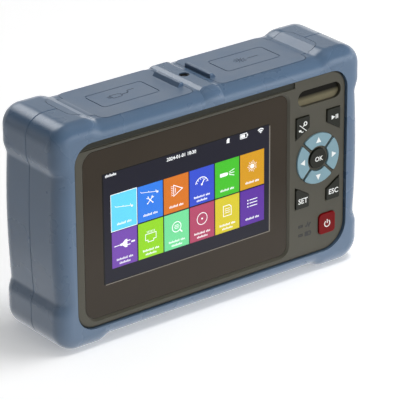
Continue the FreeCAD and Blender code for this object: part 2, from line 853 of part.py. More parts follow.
def bay_cutter(label, side):
    """The space that one flap, its tongue and its socket opening take out of the housing."""
    body = new_body(label)
    plan = new_sketch(body, "XY_Plane", "flap_seat")
    flap_plan(plan, side, "flap_clearance", "tongue_start")
    extrude(body, plan, "roof")
    round_flap_corners(body, side, "flap_clearance")
    opening = new_sketch(body, "XY_Plane", "cavity_top")
    draw_rectangle(opening, "%d * (tray_inner)" % side, "-(tray_half)",
                   "%d * (tray_outer)" % side, "tray_half")
    extrude(body, opening, "roof")
    slot = new_body(label + "_tongue")
    tongue_form(slot, side, "flap_clearance", "(flap_thickness + flap_floor_gap)", "roof")
    return [body, slot]


def torch_cutter():
    bore = doc.addObject("Part::Cylinder", "torch_bore")
    bind(bore, "Radius", "torch_radius")
    bind(bore, "Height", "2 * roof")
    bind(bore, "Placement.Base.z", "cavity_top - roof / 2")
    return bore


def without(label, body, tools):
    """The body with the tools cut away."""
    tool = doc.addObject("Part::MultiFuse", label + "_openings")
    tool.Shapes = tools
    result = doc.addObject("Part::Cut", label)
    result.Label = label
    result.Base = body
    result.Tool = tool
    doc.recompute()
    return result


# ---------------------------------------------------------------- flaps

def flap(label, side):
    """A rubber lid with a finger lip, a sunk outline on top and a plug skirt below."""
    body = new_body(label)
    plan = new_sketch(body, "XY_Plane", "flap_under")
    flap_plan(plan, side, "0", "hinge_x")
    extrude(body, plan, "flap_thickness")
    round_flap_corners(body, side, "0")
    roll = new_sketch(body, "XZ_Plane")
    draw_circle(roll, "%d * hinge_x" % side, "hinge_z", "hinge_roll")
    extrude(body, roll, "2 * (tongue_half - hinge_gap)", centred=True)
    skirt = new_sketch(body, "XY_Plane", "flap_under")
    near, far = "tray_inner + skirt_clearance", "tray_outer - skirt_clearance"
    half = "tray_half - skirt_clearance"
    draw_rectangle(skirt, "%d * (%s)" % (side, near), "-(%s)" % half, "%d * (%s)" % (side, far), half)
    near, far, half = near + " + skirt_wall", far + " - skirt_wall", half + " - skirt_wall"
    draw_rectangle(skirt, "%d * (%s)" % (side, near), "-(%s)" % half, "%d * (%s)" % (side, far), half)
    extrude(body, skirt, "skirt_height", backward=True)
    lip = new_sketch(body, "XZ_Plane")
    rise = [("lip_inner", "hinge_z"), ("lip_inner + lip_width", "hinge_z"),
            ("lip_inner + lip_width", "waist_top"), ("lip_inner + lip_crest", "waist_top + lip_height"),
            ("lip_inner", "waist_top + lip_height")]
    draw_outline(lip, [("%d * (%s)" % (side, x), z) for x, z in rise])
    extrude(body, lip, "2 * lip_half", centred=True)
    fillet(body, "lip_rounding", lambda edge: lies_at(edge, "z", "waist_top + lip_height"))
    line = new_sketch(body, "XY_Plane", "waist_top")
    centre = "%d * frame_line_x" % side
    for inset in ("0", "frame_line_stroke"):
        half_width = "(frame_line_width / 2 - %s)" % inset
        half_depth = "(frame_line_depth / 2 - %s)" % inset
        draw_rounded(line, centre + " - " + half_width, "-" + half_depth,
                     centre + " + " + half_width, half_depth, "(frame_line_radius - %s)" % inset)
    cut(body, line, "frame_line_sink")
    return body


def flap_tongue(label, side):
    """The part of the flap that stays put, held in the bumper."""
    body = new_body(label)
    tongue_form(body, side, "0", "flap_thickness", "0")
    return body


# ---------------------------------------------------------------- front panel

CORNER_KEYS = {"tool_key": (-1, 1), "run_key": (1, 1), "set_key": (-1, -1), "escape_key": (1, -1)}
ARROW_KEYS = {"up_key": 0, "right_key": 1, "down_key": 2, "left_key": 3}


def corner_key_outline(side, up, growth):
    """A key beside the arrow ring: a rectangle whose corner towards the ring is cut off."""
    def spot(x, z):
        return ("keypad_x + %d * (%s)" % (side, x), "keypad_z + %d * (%s)" % (up, z))
    return [
        spot("key_outer + %s" % growth, "key_long_end - %s * (key_slant_run + key_slant)" % growth),
        spot("key_outer + %s" % growth, "key_reach + %s" % growth),
        spot("key_inner - %s" % growth, "key_reach + %s" % growth),
        spot("key_inner - %s" % growth, "key_short_end - %s * (key_slant_run - key_slant)" % growth),
    ]


def arrow_key_outline(turns, growth):
    """A quarter of the arrow ring, turned clockwise from the top, with its arcs' radii."""
    gap = "(pad_gap / 2 - %s)" % growth
    outer = "(pad_radius + %s)" % growth
    inner = "(pad_hole_radius - %s)" % growth
    outer_run = "sqrt(%s ^ 2 - %s ^ 2)" % (outer, gap)
    inner_run = "sqrt(%s ^ 2 - %s ^ 2)" % (inner, gap)

    def spot(run, sign):
        x = "%d * (%s - %s) / sqrt(2)" % (sign, run, gap)
        z = "(%s + %s) / sqrt(2)" % (run, gap)
        for _ in range(turns):
            x, z = z, "-(%s)" % x
        return ("keypad_x + (%s)" % x, "keypad_z + (%s)" % z)

    corners = [spot(outer_run, 1), spot(outer_run, -1), spot(inner_run, -1), spot(inner_run, 1)]
    return corners, {0: outer, 2: "-" + inner}


def draw_key(body_or_sketch, name, growth):
    """Draw one key's outline, grown by a margin."""
    if name in CORNER_KEYS:
        draw_outline(body_or_sketch, corner_key_outline(*CORNER_KEYS[name], growth))
    elif name in ARROW_KEYS:
        corners, bows = arrow_key_outline(ARROW_KEYS[name], growth)
        draw_outline(body_or_sketch, corners, bows)
    elif name == "enter_key":
        draw_circle(body_or_sketch, "keypad_x", "keypad_z", "enter_radius + %s" % growth)
    else:
        half_width = "(power_width / 2 + %s)" % growth
        half_height = "(power_height / 2 + %s)" % growth
        draw_rounded(body_or_sketch, "power_x - " + half_width, "power_z - " + half_height,
                     "power_x + " + half_width, "power_z + " + half_height,
                     "(power_corner_radius + %s)" % growth)


KEYS = [*CORNER_KEYS, *ARROW_KEYS, "enter_key", "power_key"]


def key_centre(name):
    """Where a key's plunger and its switch sit."""
    if name in CORNER_KEYS:
        side, up = CORNER_KEYS[name]
        return ("keypad_x + %d * (key_outer + key_inner) / 2" % side,
                "keypad_z + %d * (key_reach + key_short_end) / 2" % up)
    if name in ARROW_KEYS:
        x, z = "0", "(pad_radius + pad_hole_radius) / 2"
        for _ in range(ARROW_KEYS[name]):
            x, z = z, "-(%s)" % x
        return ("keypad_x + (%s)" % x, "keypad_z + (%s)" % z)
    if name == "enter_key":
        return ("keypad_x", "keypad_z")
    return ("power_x", "power_z")


def key(name):
    """A key cap that stands proud of the panel, its hidden flange and its plunger."""
    body = new_body(name)
    top = "bezel_front - key_rise"
    cap = new_sketch(body, "XZ_Plane", "-(%s)" % top)
    draw_key(cap, name, "0")
    extrude(body, cap, "key_rise + bezel_thickness + flange_gap", backward=True)
    if name not in ("enter_key", "power_key"):
        fillet(body, "key_corner_radius", lambda edge: along(edge, "y"))
    fillet(body, "key_edge_rounding", lambda edge: lies_at(edge, "y", top))
    flange = new_sketch(body, "XZ_Plane", "-(flange_front)")
    growth = "pad_gap / 4" if name in ARROW_KEYS or name == "enter_key" else "flange_width"
    draw_key(flange, name, "(%s)" % growth)
    extrude(body, flange, "flange_thickness", backward=True)
    x, z = key_centre(name)
    plunger = front_circles(body, "flange_back", [(x, z, "plunger_radius")])
    extrude(body, plunger, "plunger_length", backward=True)
    return body


LAMPS = [("lamp_x", "lamp_z + lamp_pitch / 2"), ("lamp_x", "lamp_z - lamp_pitch / 2")]


def draw_lamp(sketch, x, z, growth):
    half_width, half_height = "(lamp_width / 2 + %s)" % growth, "(lamp_height / 2 + %s)" % growth
    draw_rectangle(sketch, x + " - " + half_width, z + " - " + half_height,
                   x + " + " + half_width, z + " + " + half_height)


def glass_radii(growth):
    """The glass's corner radii, grown by a margin."""
    left, right = "glass_left_radius + %s" % growth, "glass_right_radius + %s" % growth
    return [left, right, right, left]


def draw_badge(sketch, growth):
    """The round-ended outline of the bare badge."""
    half_width, half_height = "(badge_width / 2 + %s)" % growth, "(badge_height / 2 + %s)" % growth
    draw_rounded(sketch, "badge_x - " + half_width, "badge_z - " + half_height,
                 "badge_x + " + half_width, "badge_z + " + half_height, half_height + " * badge_roundness")


def front_bezel():
    """The moulded front panel: a rim round the glass and the raised keypad beside it."""
    body = front_plate("front_bezel", "-(bezel_half)", "bezel_bottom", "bezel_half", "bezel_top",
                       "bezel_front", "bezel_thickness", bezel_radii("0"))
    fillet(body, "bezel_rim_rounding", lambda edge: lies_at(edge, "y", "bezel_front"))

    left = "display_x - glass_width / 2 - glass_clearance"
    right = "display_x + glass_width / 2 + glass_clearance"
    low = "glass_z - glass_height / 2 - glass_clearance"
    high = "glass_z + glass_height / 2 + glass_clearance"
    seat = new_sketch(body, "XZ_Plane", "-(bezel_front)")
    draw_rounded(seat, left, low, right, high, glass_radii("glass_clearance"))
    cut(body, seat, "glass_recess + glass_thickness")

    def seat_edge(edge):
        box = edge.BoundBox
        inside = box.XMin > number(left) - 0.1 and box.XMax < number(right) + 0.1
        return lies_at(edge, "y", "bezel_front") and inside
    chamfer(body, "bezel_slope_width", seat_edge)

    brow = new_sketch(body, "XZ_Plane", "-(bezel_front)")
    draw_rectangle(brow, "-(bezel_half + bezel_clearance)", high + " + brow_rim",
                   right + " + brow_reach", "bezel_top + bezel_clearance")
    cut(body, brow, "brow_depth")
    fillet(body, "brow_rounding", lambda edge: along(edge, "x") and lies_at(edge, "y", "bezel_front")
           and lies_at(edge, "z", high + " + brow_rim"))

    half = "panel_width / 2 + panel_clearance"
    window = new_sketch(body, "XZ_Plane", "-(glass_back)")
    draw_rectangle(window, "display_x - (%s)" % half, "active_z - panel_height / 2 - panel_clearance",
                   "display_x + (%s)" % half, "active_z + panel_height / 2 + panel_clearance")
    cut(body, window, "bezel_back - glass_back")

    badge = new_sketch(body, "XZ_Plane", "-(bezel_front)")
    draw_badge(badge, "0")
    cut(body, badge, "badge_sink + badge_plate_thickness")

    for name in [*CORNER_KEYS, "power_key"]:
        hole = new_sketch(body, "XZ_Plane", "-(bezel_front)")
        draw_key(hole, name, "key_clearance")
        cut(body, hole, "bezel_thickness")
    ring = front_circles(body, "bezel_front", [("keypad_x", "keypad_z", "pad_radius + key_clearance")])
    cut(body, ring, "bezel_thickness")
    lamps = new_sketch(body, "XZ_Plane", "-(bezel_front)")
    for x, z in LAMPS:
        draw_lamp(lamps, x, z, "lamp_clearance")
    cut(body, lamps, "bezel_thickness")

    posts = front_circles(body, "bezel_back",
                          [("keypad_x", "keypad_z + post_reach", "post_radius"),
                           ("keypad_x", "keypad_z - post_reach", "post_radius"),
                           ("keypad_x - post_shift", "key_board_bottom + post_inset", "post_radius")])
    extrude(body, posts, "key_board_front - bezel_back", backward=True)
    return body


def badge_plate():
    """The bare plate in the badge recess."""
    body = new_body("badge_plate")
    sketch = new_sketch(body, "XZ_Plane", "-(bezel_front + badge_sink)")
    draw_badge(sketch, "-(badge_clearance)")
    extrude(body, sketch, "badge_plate_thickness", backward=True)
    return body


def indicator_lenses():
    """Two small light pipes beside the power key."""
    body = new_body("indicator_lenses")
    sketch = new_sketch(body, "XZ_Plane", "-(bezel_front)")
    for x, z in LAMPS:
        draw_lamp(sketch, x, z, "0")
    extrude(body, sketch, "lamp_depth", backward=True)
    return body


def key_board():
    return front_plate("key_board", "key_board_left", "key_board_bottom", "key_board_right",
                       "key_board_top", "key_board_front", "key_board_thickness")


def key_switches():
    """One snap dome under each key's plunger."""
    body = new_body("key_switches")
    domes = front_circles(body, "switch_top", [(*key_centre(name), "switch_radius") for name in KEYS])
    extrude(body, domes, "switch_height", backward=True)
    return body


# ---------------------------------------------------------------- display

def bezel_gasket():
    """The soft ring that seals the bezel to the front shell's ledge."""
    body = new_body("bezel_gasket")
    sketch = new_sketch(body, "XZ_Plane", "-(bezel_back)")
    inset = "-(ledge_width - gasket_width)"
    draw_rounded(sketch, "-(window_half + gasket_width)", "window_bottom - gasket_width",
                 "window_half + gasket_width", "window_top + gasket_width", bezel_radii(inset))
    draw_rounded(sketch, "-(window_half)", "window_bottom", "window_half", "window_top",
                 bezel_radii("-(ledge_width)"))
    extrude(body, sketch, "gasket_thickness", backward=True)
    return body


def touch_glass():
    return front_plate("touch_glass", "display_x - glass_width / 2", "glass_z - glass_height / 2",
                       "display_x + glass_width / 2", "glass_z + glass_height / 2",
                       "glass_front", "glass_thickness", glass_radii("0"))


def display_panel():
    """The display module; its lit area lies a little below the frame round it."""
    body = front_plate("display_panel", "display_x - panel_width / 2", "active_z - panel_height / 2",
                       "display_x + panel_width / 2", "active_z + panel_height / 2",
                       "glass_back", "panel_thickness")
    lit = new_sketch(body, "XZ_Plane", "-(glass_back)")
    draw_rectangle(lit, "display_x - active_width / 2", "active_z - active_height / 2",
                   "display_x + active_width / 2", "active_z + active_height / 2")
    cut(body, lit, "panel_window_sink")
    return body


def display_cushion():
    """The foam ring between the display and its metal frame."""
    body = new_body("display_cushion")
    sketch = new_sketch(body, "XZ_Plane", "-(panel_back)")
    for inset in ("0", "cushion_width"):
        half_width, half_height = "(panel_width / 2 - %s)" % inset, "(panel_height / 2 - %s)" % inset
        draw_rectangle(sketch, "display_x - " + half_width, "active_z - " + half_height,
                       "display_x + " + half_width, "active_z + " + half_height)
    extrude(body, sketch, "cushion_thickness", backward=True)
    return body


def display_frame():
    """The metal frame behind the display, with the main board's standoffs."""
    body = front_plate("display_frame", "frame_left", "frame_bottom", "frame_right", "frame_top",
                       "frame_front", "frame_thickness", "frame_corner_radius")
    standoffs = front_circles(body, "frame_front", [(x, z, "standoff_radius") for x, z in STANDOFFS])
    extrude(body, standoffs, "board_front - frame_front", backward=True)
    return body


STANDOFFS = [(x, z) for x in ("board_left + standoff_inset", "frame_right - standoff_inset")
             for z in ("board_bottom + standoff_inset", "board_top - standoff_inset")]


# ---------------------------------------------------------------- boards

def main_board():
    return front_plate("main_board", "board_left", "board_bottom", "board_right", "board_top",
                       "board_front", "board_thickness")


def processor_shield():
    return front_plate("processor_shield", "shield_x - shield_width / 2", "shield_z - shield_height / 2",
                       "shield_x + shield_width / 2", "shield_z + shield_height / 2",
                       "board_back", "shield_depth")


def board_chips():
    """A row of memory and converter chips under the shield."""
    body = new_body("board_chips")
    sketch = new_sketch(body, "XZ_Plane", "-(board_back)")
    for step in (-1, 0, 1):
        middle = "shield_x + %d * chip_pitch" % step
        low = "shield_z - shield_height / 2 - chip_pitch"
        draw_rectangle(sketch, "%s - chip_size / 2" % middle, "%s - chip_size / 2" % low,
                       "%s + chip_size / 2" % middle, "%s + chip_size / 2" % low)
    extrude(body, sketch, "chip_depth", backward=True)
    return body


def sounder():
    body = new_body("sounder")
    sketch = front_circles(body, "board_back", [("sounder_x", "sounder_z", "sounder_radius")])
    extrude(body, sketch, "sounder_depth", backward=True)
    return body


def optical_module():
    """The sealed laser and receiver block, standing off the main board on four feet."""
    right, top = "optics_left + optics_width", "optics_bottom + optics_height"
    body = front_plate("optical_module", "optics_left", "optics_bottom", right, top,
                       "optics_front", "optics_depth")
    feet = front_circles(body, "board_back",
                         [(x, z, "optics_foot_radius")
                          for x in ("optics_left + optics_foot_inset", right + " - optics_foot_inset")
                          for z in ("optics_bottom + optics_foot_inset", top + " - optics_foot_inset")])
    extrude(body, feet, "optics_foot + optics_depth / 2", backward=True)
    return body


# ---------------------------------------------------------------- sockets under the flaps

OPTIC_PORTS = ["reflectometer_port", "power_meter_port", "fault_locator_port"]
JACKS = {"network_jack_near": 0, "network_jack_far": 1}


def optic_x(index):
    return "(optic_near + %d * optic_pitch)" % index


def jack_x(index):
    return "(jack_near + %d * jack_pitch)" % index


def across(sketch, side, centre, width, depth, growth="0"):
    """A rectangle seen from above, centred on the middle plane, on one side of the housing."""
    half_width = "((%s) / 2 + %s)" % (width, growth)
    half_depth = "((%s) / 2 + %s)" % (depth, growth)
    draw_rectangle(sketch, "%d * %s - %s" % (side, centre, half_width), "-(%s)" % half_depth,
                   "%d * %s + %s" % (side, centre, half_width), half_depth)


def socket_tray(label, side):
    """A moulded tray that hangs under the roof's opening and holds the sockets."""
    body = new_body(label)
    middle = "(tray_inner + tray_outer) / 2"
    width = "tray_outer - tray_inner"
    block = new_sketch(body, "XY_Plane", "tray_floor - tray_wall")
    across(block, side, middle, width, "2 * tray_half", "tray_wall")
    extrude(body, block, "cavity_top - tray_floor + tray_wall")
    flange = new_sketch(body, "XY_Plane", "cavity_top - tray_wall")
    across(flange, side, middle, width + " + 2 * tray_flange + 2 * tray_wall",
           "2 * (tray_half + tray_wall + tray_flange_side)")
    extrude(body, flange, "tray_wall")
    hollow = new_sketch(body, "XY_Plane", "cavity_top")
    across(hollow, side, middle, width, "2 * tray_half")
    cut(body, hollow, "cavity_top - tray_floor")
    holes = new_sketch(body, "XY_Plane", "tray_floor")
    if side < 0:
        for index in JACKS.values():
            across(holes, side, jack_x(index), "jack_width", "jack_depth", "socket_clearance")
        across(holes, side, "charge_x", "charge_depth", "charge_width", "socket_clearance")
    else:
        for index in range(len(OPTIC_PORTS)):
            draw_circle(holes, optic_x(index), "0", "optic_tail_radius + socket_clearance")
    cut(body, holes, "tray_wall")
    return body


def network_jack(label, index):
    """An eight-way modular jack whose mouth looks up, with its latch notch to the back."""
    body = new_body(label)
    top = "tray_floor + jack_rise"
    block = new_sketch(body, "XY_Plane", top)
    across(block, -1, jack_x(index), "jack_width", "jack_depth")
    extrude(body, block, "jack_length", backward=True)
    mouth = new_sketch(body, "XY_Plane", top)
    x = "-%s" % jack_x(index)
    low = "-(jack_mouth_depth / 2 + jack_latch_depth / 2)"
    step = low + " + jack_mouth_depth"
    high = step + " + jack_latch_depth"
    half, notch = "jack_mouth_width / 2", "jack_latch_width / 2"
    draw_outline(mouth, [("%s - %s" % (x, half), low), ("%s + %s" % (x, half), low),
                         ("%s + %s" % (x, half), step), ("%s + %s" % (x, notch), step),
                         ("%s + %s" % (x, notch), high), ("%s - %s" % (x, notch), high),
                         ("%s - %s" % (x, notch), step), ("%s - %s" % (x, half), step)])
    cut(body, mouth, "jack_mouth_length")
    return body


def charge_socket():
    """A reversible charging socket: a drawn shell round a centre tongue."""
    body = new_body("charge_socket")
    top = "tray_floor + charge_rise"
    half_depth, half_width = "(charge_depth / 2)", "(charge_width / 2)"
    block = new_sketch(body, "XY_Plane", top)
    draw_rounded(block, "-charge_x - " + half_depth, "-" + half_width, "-charge_x + " + half_depth,
                 half_width, half_depth + " * charge_roundness")
    extrude(body, block, "charge_length", backward=True)
    ring_depth, ring_width = "(charge_depth / 2 - charge_shell)", "(charge_width / 2 - charge_shell)"
    mouth = new_sketch(body, "XY_Plane", top)
    draw_rounded(mouth, "-charge_x - " + ring_depth, "-" + ring_width, "-charge_x + " + ring_depth,
                 ring_width, ring_depth + " * charge_roundness")
    tongue_depth, tongue_width = "(charge_tongue)", "(charge_width / 2 - 3 * charge_shell)"
    draw_rectangle(mouth, "-charge_x - " + tongue_depth, "-" + tongue_width,
                   "-charge_x + " + tongue_depth, tongue_width)
    cut(body, mouth, "charge_length - 2 * charge_shell")
    return body


def optic_port(label, index):
    """A screw-on fibre adapter: a flanged barrel round the sleeve that takes the ferrule."""
    body = new_body(label)
    bind(body, "Placement.Base.x", optic_x(index))
    bind(body, "Placement.Base.z", "tray_floor")
    profile = new_sketch(body, "XZ_Plane")
    draw_outline(profile, [
        ("ferrule_radius", "barrel_rise - ferrule_depth"), ("ferrule_radius", "barrel_rise"),
        ("sleeve_radius", "barrel_rise"), ("sleeve_radius", "barrel_rise - barrel_pit"),
        ("barrel_bore", "barrel_rise - barrel_pit"), ("barrel_bore", "barrel_rise"),
        ("barrel_radius", "barrel_rise"), ("barrel_radius", "optic_flange_thickness"),
        ("optic_flange_radius", "optic_flange_thickness"), ("optic_flange_radius", "0"),
        ("optic_tail_radius", "0"), ("optic_tail_radius", "-(optic_tail_length)"),
        ("0", "-(optic_tail_length)"), ("0", "barrel_rise - ferrule_depth")])
    spin(body, profile)
    slot = new_sketch(body, "XY_Plane", "barrel_rise")
    draw_rectangle(slot, "-(key_slot_width / 2)", "-(barrel_radius + key_slot_overrun)", "key_slot_width / 2",
                   "-(barrel_bore + sleeve_radius) / 2")
    cut(body, slot, "key_slot_depth")
    return body


def torch_lens():
    """The clear lens of the torch, with a flange that bears on the roof from inside."""
    body = new_body("torch_lens")
    flange = new_sketch(body, "XY_Plane", "cavity_top - torch_flange_thickness")
    draw_circle(flange, "0", "0", "torch_flange_radius")
    extrude(body, flange, "torch_flange_thickness")
    barrel = new_sketch(body, "XY_Plane", "cavity_top")
    draw_circle(barrel, "0", "0", "torch_radius - torch_lens_clearance")
    extrude(body, barrel, "roof + rib_height - torch_lens_sink")
    return body


def torch_board():
    body = new_body("torch_board")
    sketch = new_sketch(body, "XY_Plane", "cavity_top - torch_flange_thickness")
    draw_rectangle(sketch, "-(torch_board_width) / 2", "-(torch_board_depth) / 2",
                   "torch_board_width / 2", "torch_board_depth / 2")
    extrude(body, sketch, "torch_board_thickness", backward=True)
    return body


# ---------------------------------------------------------------- back

COVER_SCREWS = ["cover_screw_x", "-(cover_screw_x)"]


def battery_pack():
    half = "battery_width / 2"
    return front_plate("battery_pack", "-(%s)" % half, "battery_bottom", half, "battery_top",
                       "battery_front", "battery_depth", "battery_corner_radius")


def battery_cover():
    """The screwed cover at the bottom of the stand's well."""
    body = front_plate("battery_cover", "-(cover_half)", "cover_low", "cover_half", "cover_high",
                       "well_face - cover_thickness", "cover_thickness", "cover_radius")
    screws = front_circles(body, "well_face - cover_thickness",
                           [(x, "cover_screw_z", "cover_screw_radius + cover_screw_clearance")
                            for x in COVER_SCREWS])
    cut(body, screws, "cover_thickness")
    heads = front_circles(body, "well_face - cover_head_sink",
                          [(x, "cover_screw_z", "cover_screw_head + cover_screw_clearance")
                           for x in COVER_SCREWS])
    cut(body, heads, "cover_head_sink")
    return body


def cover_screws():
    """The two screws of the battery cover, their heads sunk in it."""
    body = new_body("cover_screws")
    heads = front_circles(body, "well_face - cover_head_sink",
                          [(x, "cover_screw_z", "cover_screw_head") for x in COVER_SCREWS])
    extrude(body, heads, "cover_screw_head_height", backward=True)
    shanks = front_circles(body, "well_face - cover_head_sink",
                           [(x, "cover_screw_z", "cover_screw_radius") for x in COVER_SCREWS])
    extrude(body, shanks, "well_floor - cover_head_sink")
    return body


def case_screws():
    """Four long screws from the back shell into the front shell's posts."""
    body = new_body("case_screws")
    heads = front_circles(body, "head_floor", [(x, z, "screw_head_radius") for x, z in CASE_SCREWS])
    extrude(body, heads, "screw_head_height", backward=True)
    shanks = front_circles(body, "head_floor", [(x, z, "screw_radius") for x, z in CASE_SCREWS])
    extrude(body, shanks, "head_floor + screw_grip")
    drives = front_circles(body, "head_floor + screw_head_height",
                           [(x, z, "driver_radius") for x, z in CASE_SCREWS])
    cut(body, drives, "driver_depth", backward=True)
    return body


def tilt_stand():
    """A flat leg with a window, hinged at its upper edge."""
    half = "stand_width / 2"
    top = "stand_hinge_z"
    body = front_plate("tilt_stand", "-(%s)" % half, "stand_bottom", half, top,
                       "stand_front", "stand_thickness",
                       ["stand_corner_radius", "stand_corner_radius", "stand_top_radius", "stand_top_radius"])
    window = new_sketch(body, "XZ_Plane", "-(stand_front)")
    draw_rounded(window, "-(stand_window_width) / 2", "stand_window_bottom", "stand_window_width / 2",
                 "stand_window_bottom + stand_window_height", "stand_window_radius")
    cut(body, window, "stand_thickness")
    knuckle = new_sketch(body, "YZ_Plane")
    draw_circle(knuckle, "stand_hinge_y", "stand_hinge_z", "knuckle_radius")
    extrude(body, knuckle, "stand_width", centred=True)
    bore = new_sketch(body, "YZ_Plane")
    draw_circle(bore, "stand_hinge_y", "stand_hinge_z", "stand_pin_radius + stand_pin_clearance")
    cut(body, bore, "stand_width", centred=True)
    return body


def stand_pin():
    pin = doc.addObject("Part::Cylinder", "stand_pin")
    pin.Label = "stand_pin"
    bind(pin, "Radius", "stand_pin_radius")
    bind(pin, "Height", "2 * (well_half + stand_pin_seat)")
    pin.Placement.Rotation = FreeCAD.Rotation(Vector(0, 1, 0), 90)
    bind(pin, "Placement.Base.x", "-(well_half + stand_pin_seat)")
    bind(pin, "Placement.Base.y", "stand_hinge_y")
    bind(pin, "Placement.Base.z", "stand_hinge_z")
    return pin


def build():
    fill_sheet()
    front = front_shell_body()
    rear = rear_shell_body()
    bays = bay_cutter("left_bay", -1) + bay_cutter("right_bay", 1)
    tools = bays + [torch_cutter()]
    parts = [without("front_shell", front, tools), without("rear_shell", rear, tools)]
    for word, side in (("left", -1), ("right", 1)):
        parts.append(flap(word + "_flap", side))
        parts.append(flap_tongue(word + "_flap_tongue", side))
    parts.append(front_bezel())
    parts += [key(name) for name in KEYS]
    parts += [badge_plate(), indicator_lenses(), key_board(), key_switches(), bezel_gasket(),
              touch_glass(), display_panel(), display_cushion(), display_frame()]
    parts += [main_board(), processor_shield(), board_chips(), sounder(), optical_module()]
    parts += [socket_tray("data_socket_tray", -1), socket_tray("optic_socket_tray", 1)]
    parts += [network_jack(label, index) for label, index in JACKS.items()]
    parts += [charge_socket()]
    parts += [optic_port(label, index) for index, label in enumerate(OPTIC_PORTS)]
    parts += [torch_lens(), torch_board(), battery_pack(), battery_cover(), cover_screws(), case_screws(),
              tilt_stand(), stand_pin()]
    return parts


def save(parts):
    """Check every object and every sub-part, then write the sub-parts out."""
    doc.recompute()
    for item in doc.Objects:
        if "Invalid" in item.State or "Error" in item.State:
            raise RuntimeError("%s failed: %s" % (item.Name, item.State))
    for part in parts:
        if part.Shape.isNull() or not part.Shape.isValid():
            raise RuntimeError("%s has no valid shape" % part.Label)
    os.makedirs("parts", exist_ok=True)
    for part in parts:
        part.Shape.exportStep("parts/%s.step" % part.Label)


if __name__ == "__main__":
    save(build())
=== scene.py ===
"""The looks of a handheld optical time domain reflectometer, laid out as an add-on.

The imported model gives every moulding, key and socket its shape. The operators here give each of
them its finish, and add the fine pieces that ride on them: the menu on the display, the legends
on the keys, the marks on the flaps, the contacts in the sockets and the glass of the torch.
"""

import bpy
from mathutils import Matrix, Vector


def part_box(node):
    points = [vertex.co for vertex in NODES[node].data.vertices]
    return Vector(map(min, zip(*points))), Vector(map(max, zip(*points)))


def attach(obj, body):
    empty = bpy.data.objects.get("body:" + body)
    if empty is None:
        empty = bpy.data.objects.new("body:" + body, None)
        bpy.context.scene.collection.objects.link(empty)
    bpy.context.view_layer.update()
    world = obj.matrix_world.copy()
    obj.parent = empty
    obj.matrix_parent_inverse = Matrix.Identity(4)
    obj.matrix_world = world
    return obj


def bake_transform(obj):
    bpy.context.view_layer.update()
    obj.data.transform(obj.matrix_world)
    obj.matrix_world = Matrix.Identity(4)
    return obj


bl_info = {
    "name": "Handheld reflectometer looks",
    "version": (1, 0, 0),
    "blender": (4, 5, 0),
    "location": "3D View > Sidebar > Reflectometer",
    "description": "Finishes and fine pieces of a handheld optical time domain reflectometer",
    "category": "Object",
}

import math

import bmesh
import bpy
from bpy.props import (CollectionProperty, EnumProperty, FloatProperty, FloatVectorProperty,
                       IntProperty, PointerProperty)
from mathutils import Matrix, Vector
from mathutils.geometry import tessellate_polygon

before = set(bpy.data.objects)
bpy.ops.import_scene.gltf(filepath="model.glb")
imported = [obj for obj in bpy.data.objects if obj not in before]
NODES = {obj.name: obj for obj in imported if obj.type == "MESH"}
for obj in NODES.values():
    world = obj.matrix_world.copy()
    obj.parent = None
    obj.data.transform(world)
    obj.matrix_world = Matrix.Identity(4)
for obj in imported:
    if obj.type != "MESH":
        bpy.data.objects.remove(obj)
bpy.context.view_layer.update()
MM = 0.001
LID_TOP = 107.9
SHARP_ANGLE = math.radians(35)
TURNED_STEPS = 48


def linear(value):
    """A screen value from 0 to 1 as the linear value that a colour socket holds."""
    return value / 12.92 if value <= 0.04045 else ((value + 0.055) / 1.055) ** 2.4


def paint(red, green, blue):
    """A colour from the 0 to 255 values of a colour card."""
    return tuple(linear(value / 255) for value in (red, green, blue))


def low_corner(node):
    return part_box(node)[0] / MM


def high_corner(node):
    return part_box(node)[1] / MM


def middle(node):
    return (low_corner(node) + high_corner(node)) / 2


# Flat pieces: print, marks and stamped contacts


def front_plane(u, v, height):
    """Across and up the front, raised towards the user."""
    return Vector((u, -height, v)) * MM


def top_plane(u, v, height):
    """Across and back over the top, raised upwards."""
    return Vector((u, v, height)) * MM


def side_plane(u, v, height):
    """Back and up over a section across the case, raised to the right."""
    return Vector((height, u, v)) * MM


def arc(u, v, radius, start, end, steps=16):
    """Points along an arc, from one angle to another in degrees."""
    angles = [math.radians(start + (end - start) * i / steps) for i in range(steps + 1)]
    return [(u + radius * math.cos(a), v + radius * math.sin(a)) for a in angles]


def circle(u, v, radius, steps=32):
    return arc(u, v, radius, 0, 360, steps)[:-1]


def rectangle(left, low, right, high):
    return [(left, low), (right, low), (right, high), (left, high)]


def rounded(left, low, right, high, radius, steps=5):
    """A rectangle with round corners."""
    points = []
    for u, v, start in ((right - radius, high - radius, 0), (left + radius, high - radius, 90),
                        (left + radius, low + radius, 180), (right - radius, low + radius, 270)):
        points += arc(u, v, radius, start, start + 90, steps)
    return points


def offset_line(points, distance, closed):
    """The points moved sideways by a distance, with mitred corners."""
    count = len(points)
    moved = []
    for i, point in enumerate(points):
        here = Vector(point)
        before = Vector(points[i - 1]) if i or closed else None
        after = Vector(points[(i + 1) % count]) if i < count - 1 or closed else None
        normals = []
        for start, end in ((before, here), (here, after)):
            if start is not None and end is not None:
                run = (end - start).normalized()
                normals.append(Vector((-run.y, run.x)))
        mitre = sum(normals, Vector((0, 0)))
        mitre = mitre / max(mitre.dot(normals[0]), 0.3)
        moved.append(tuple(here + mitre * distance))
    return moved


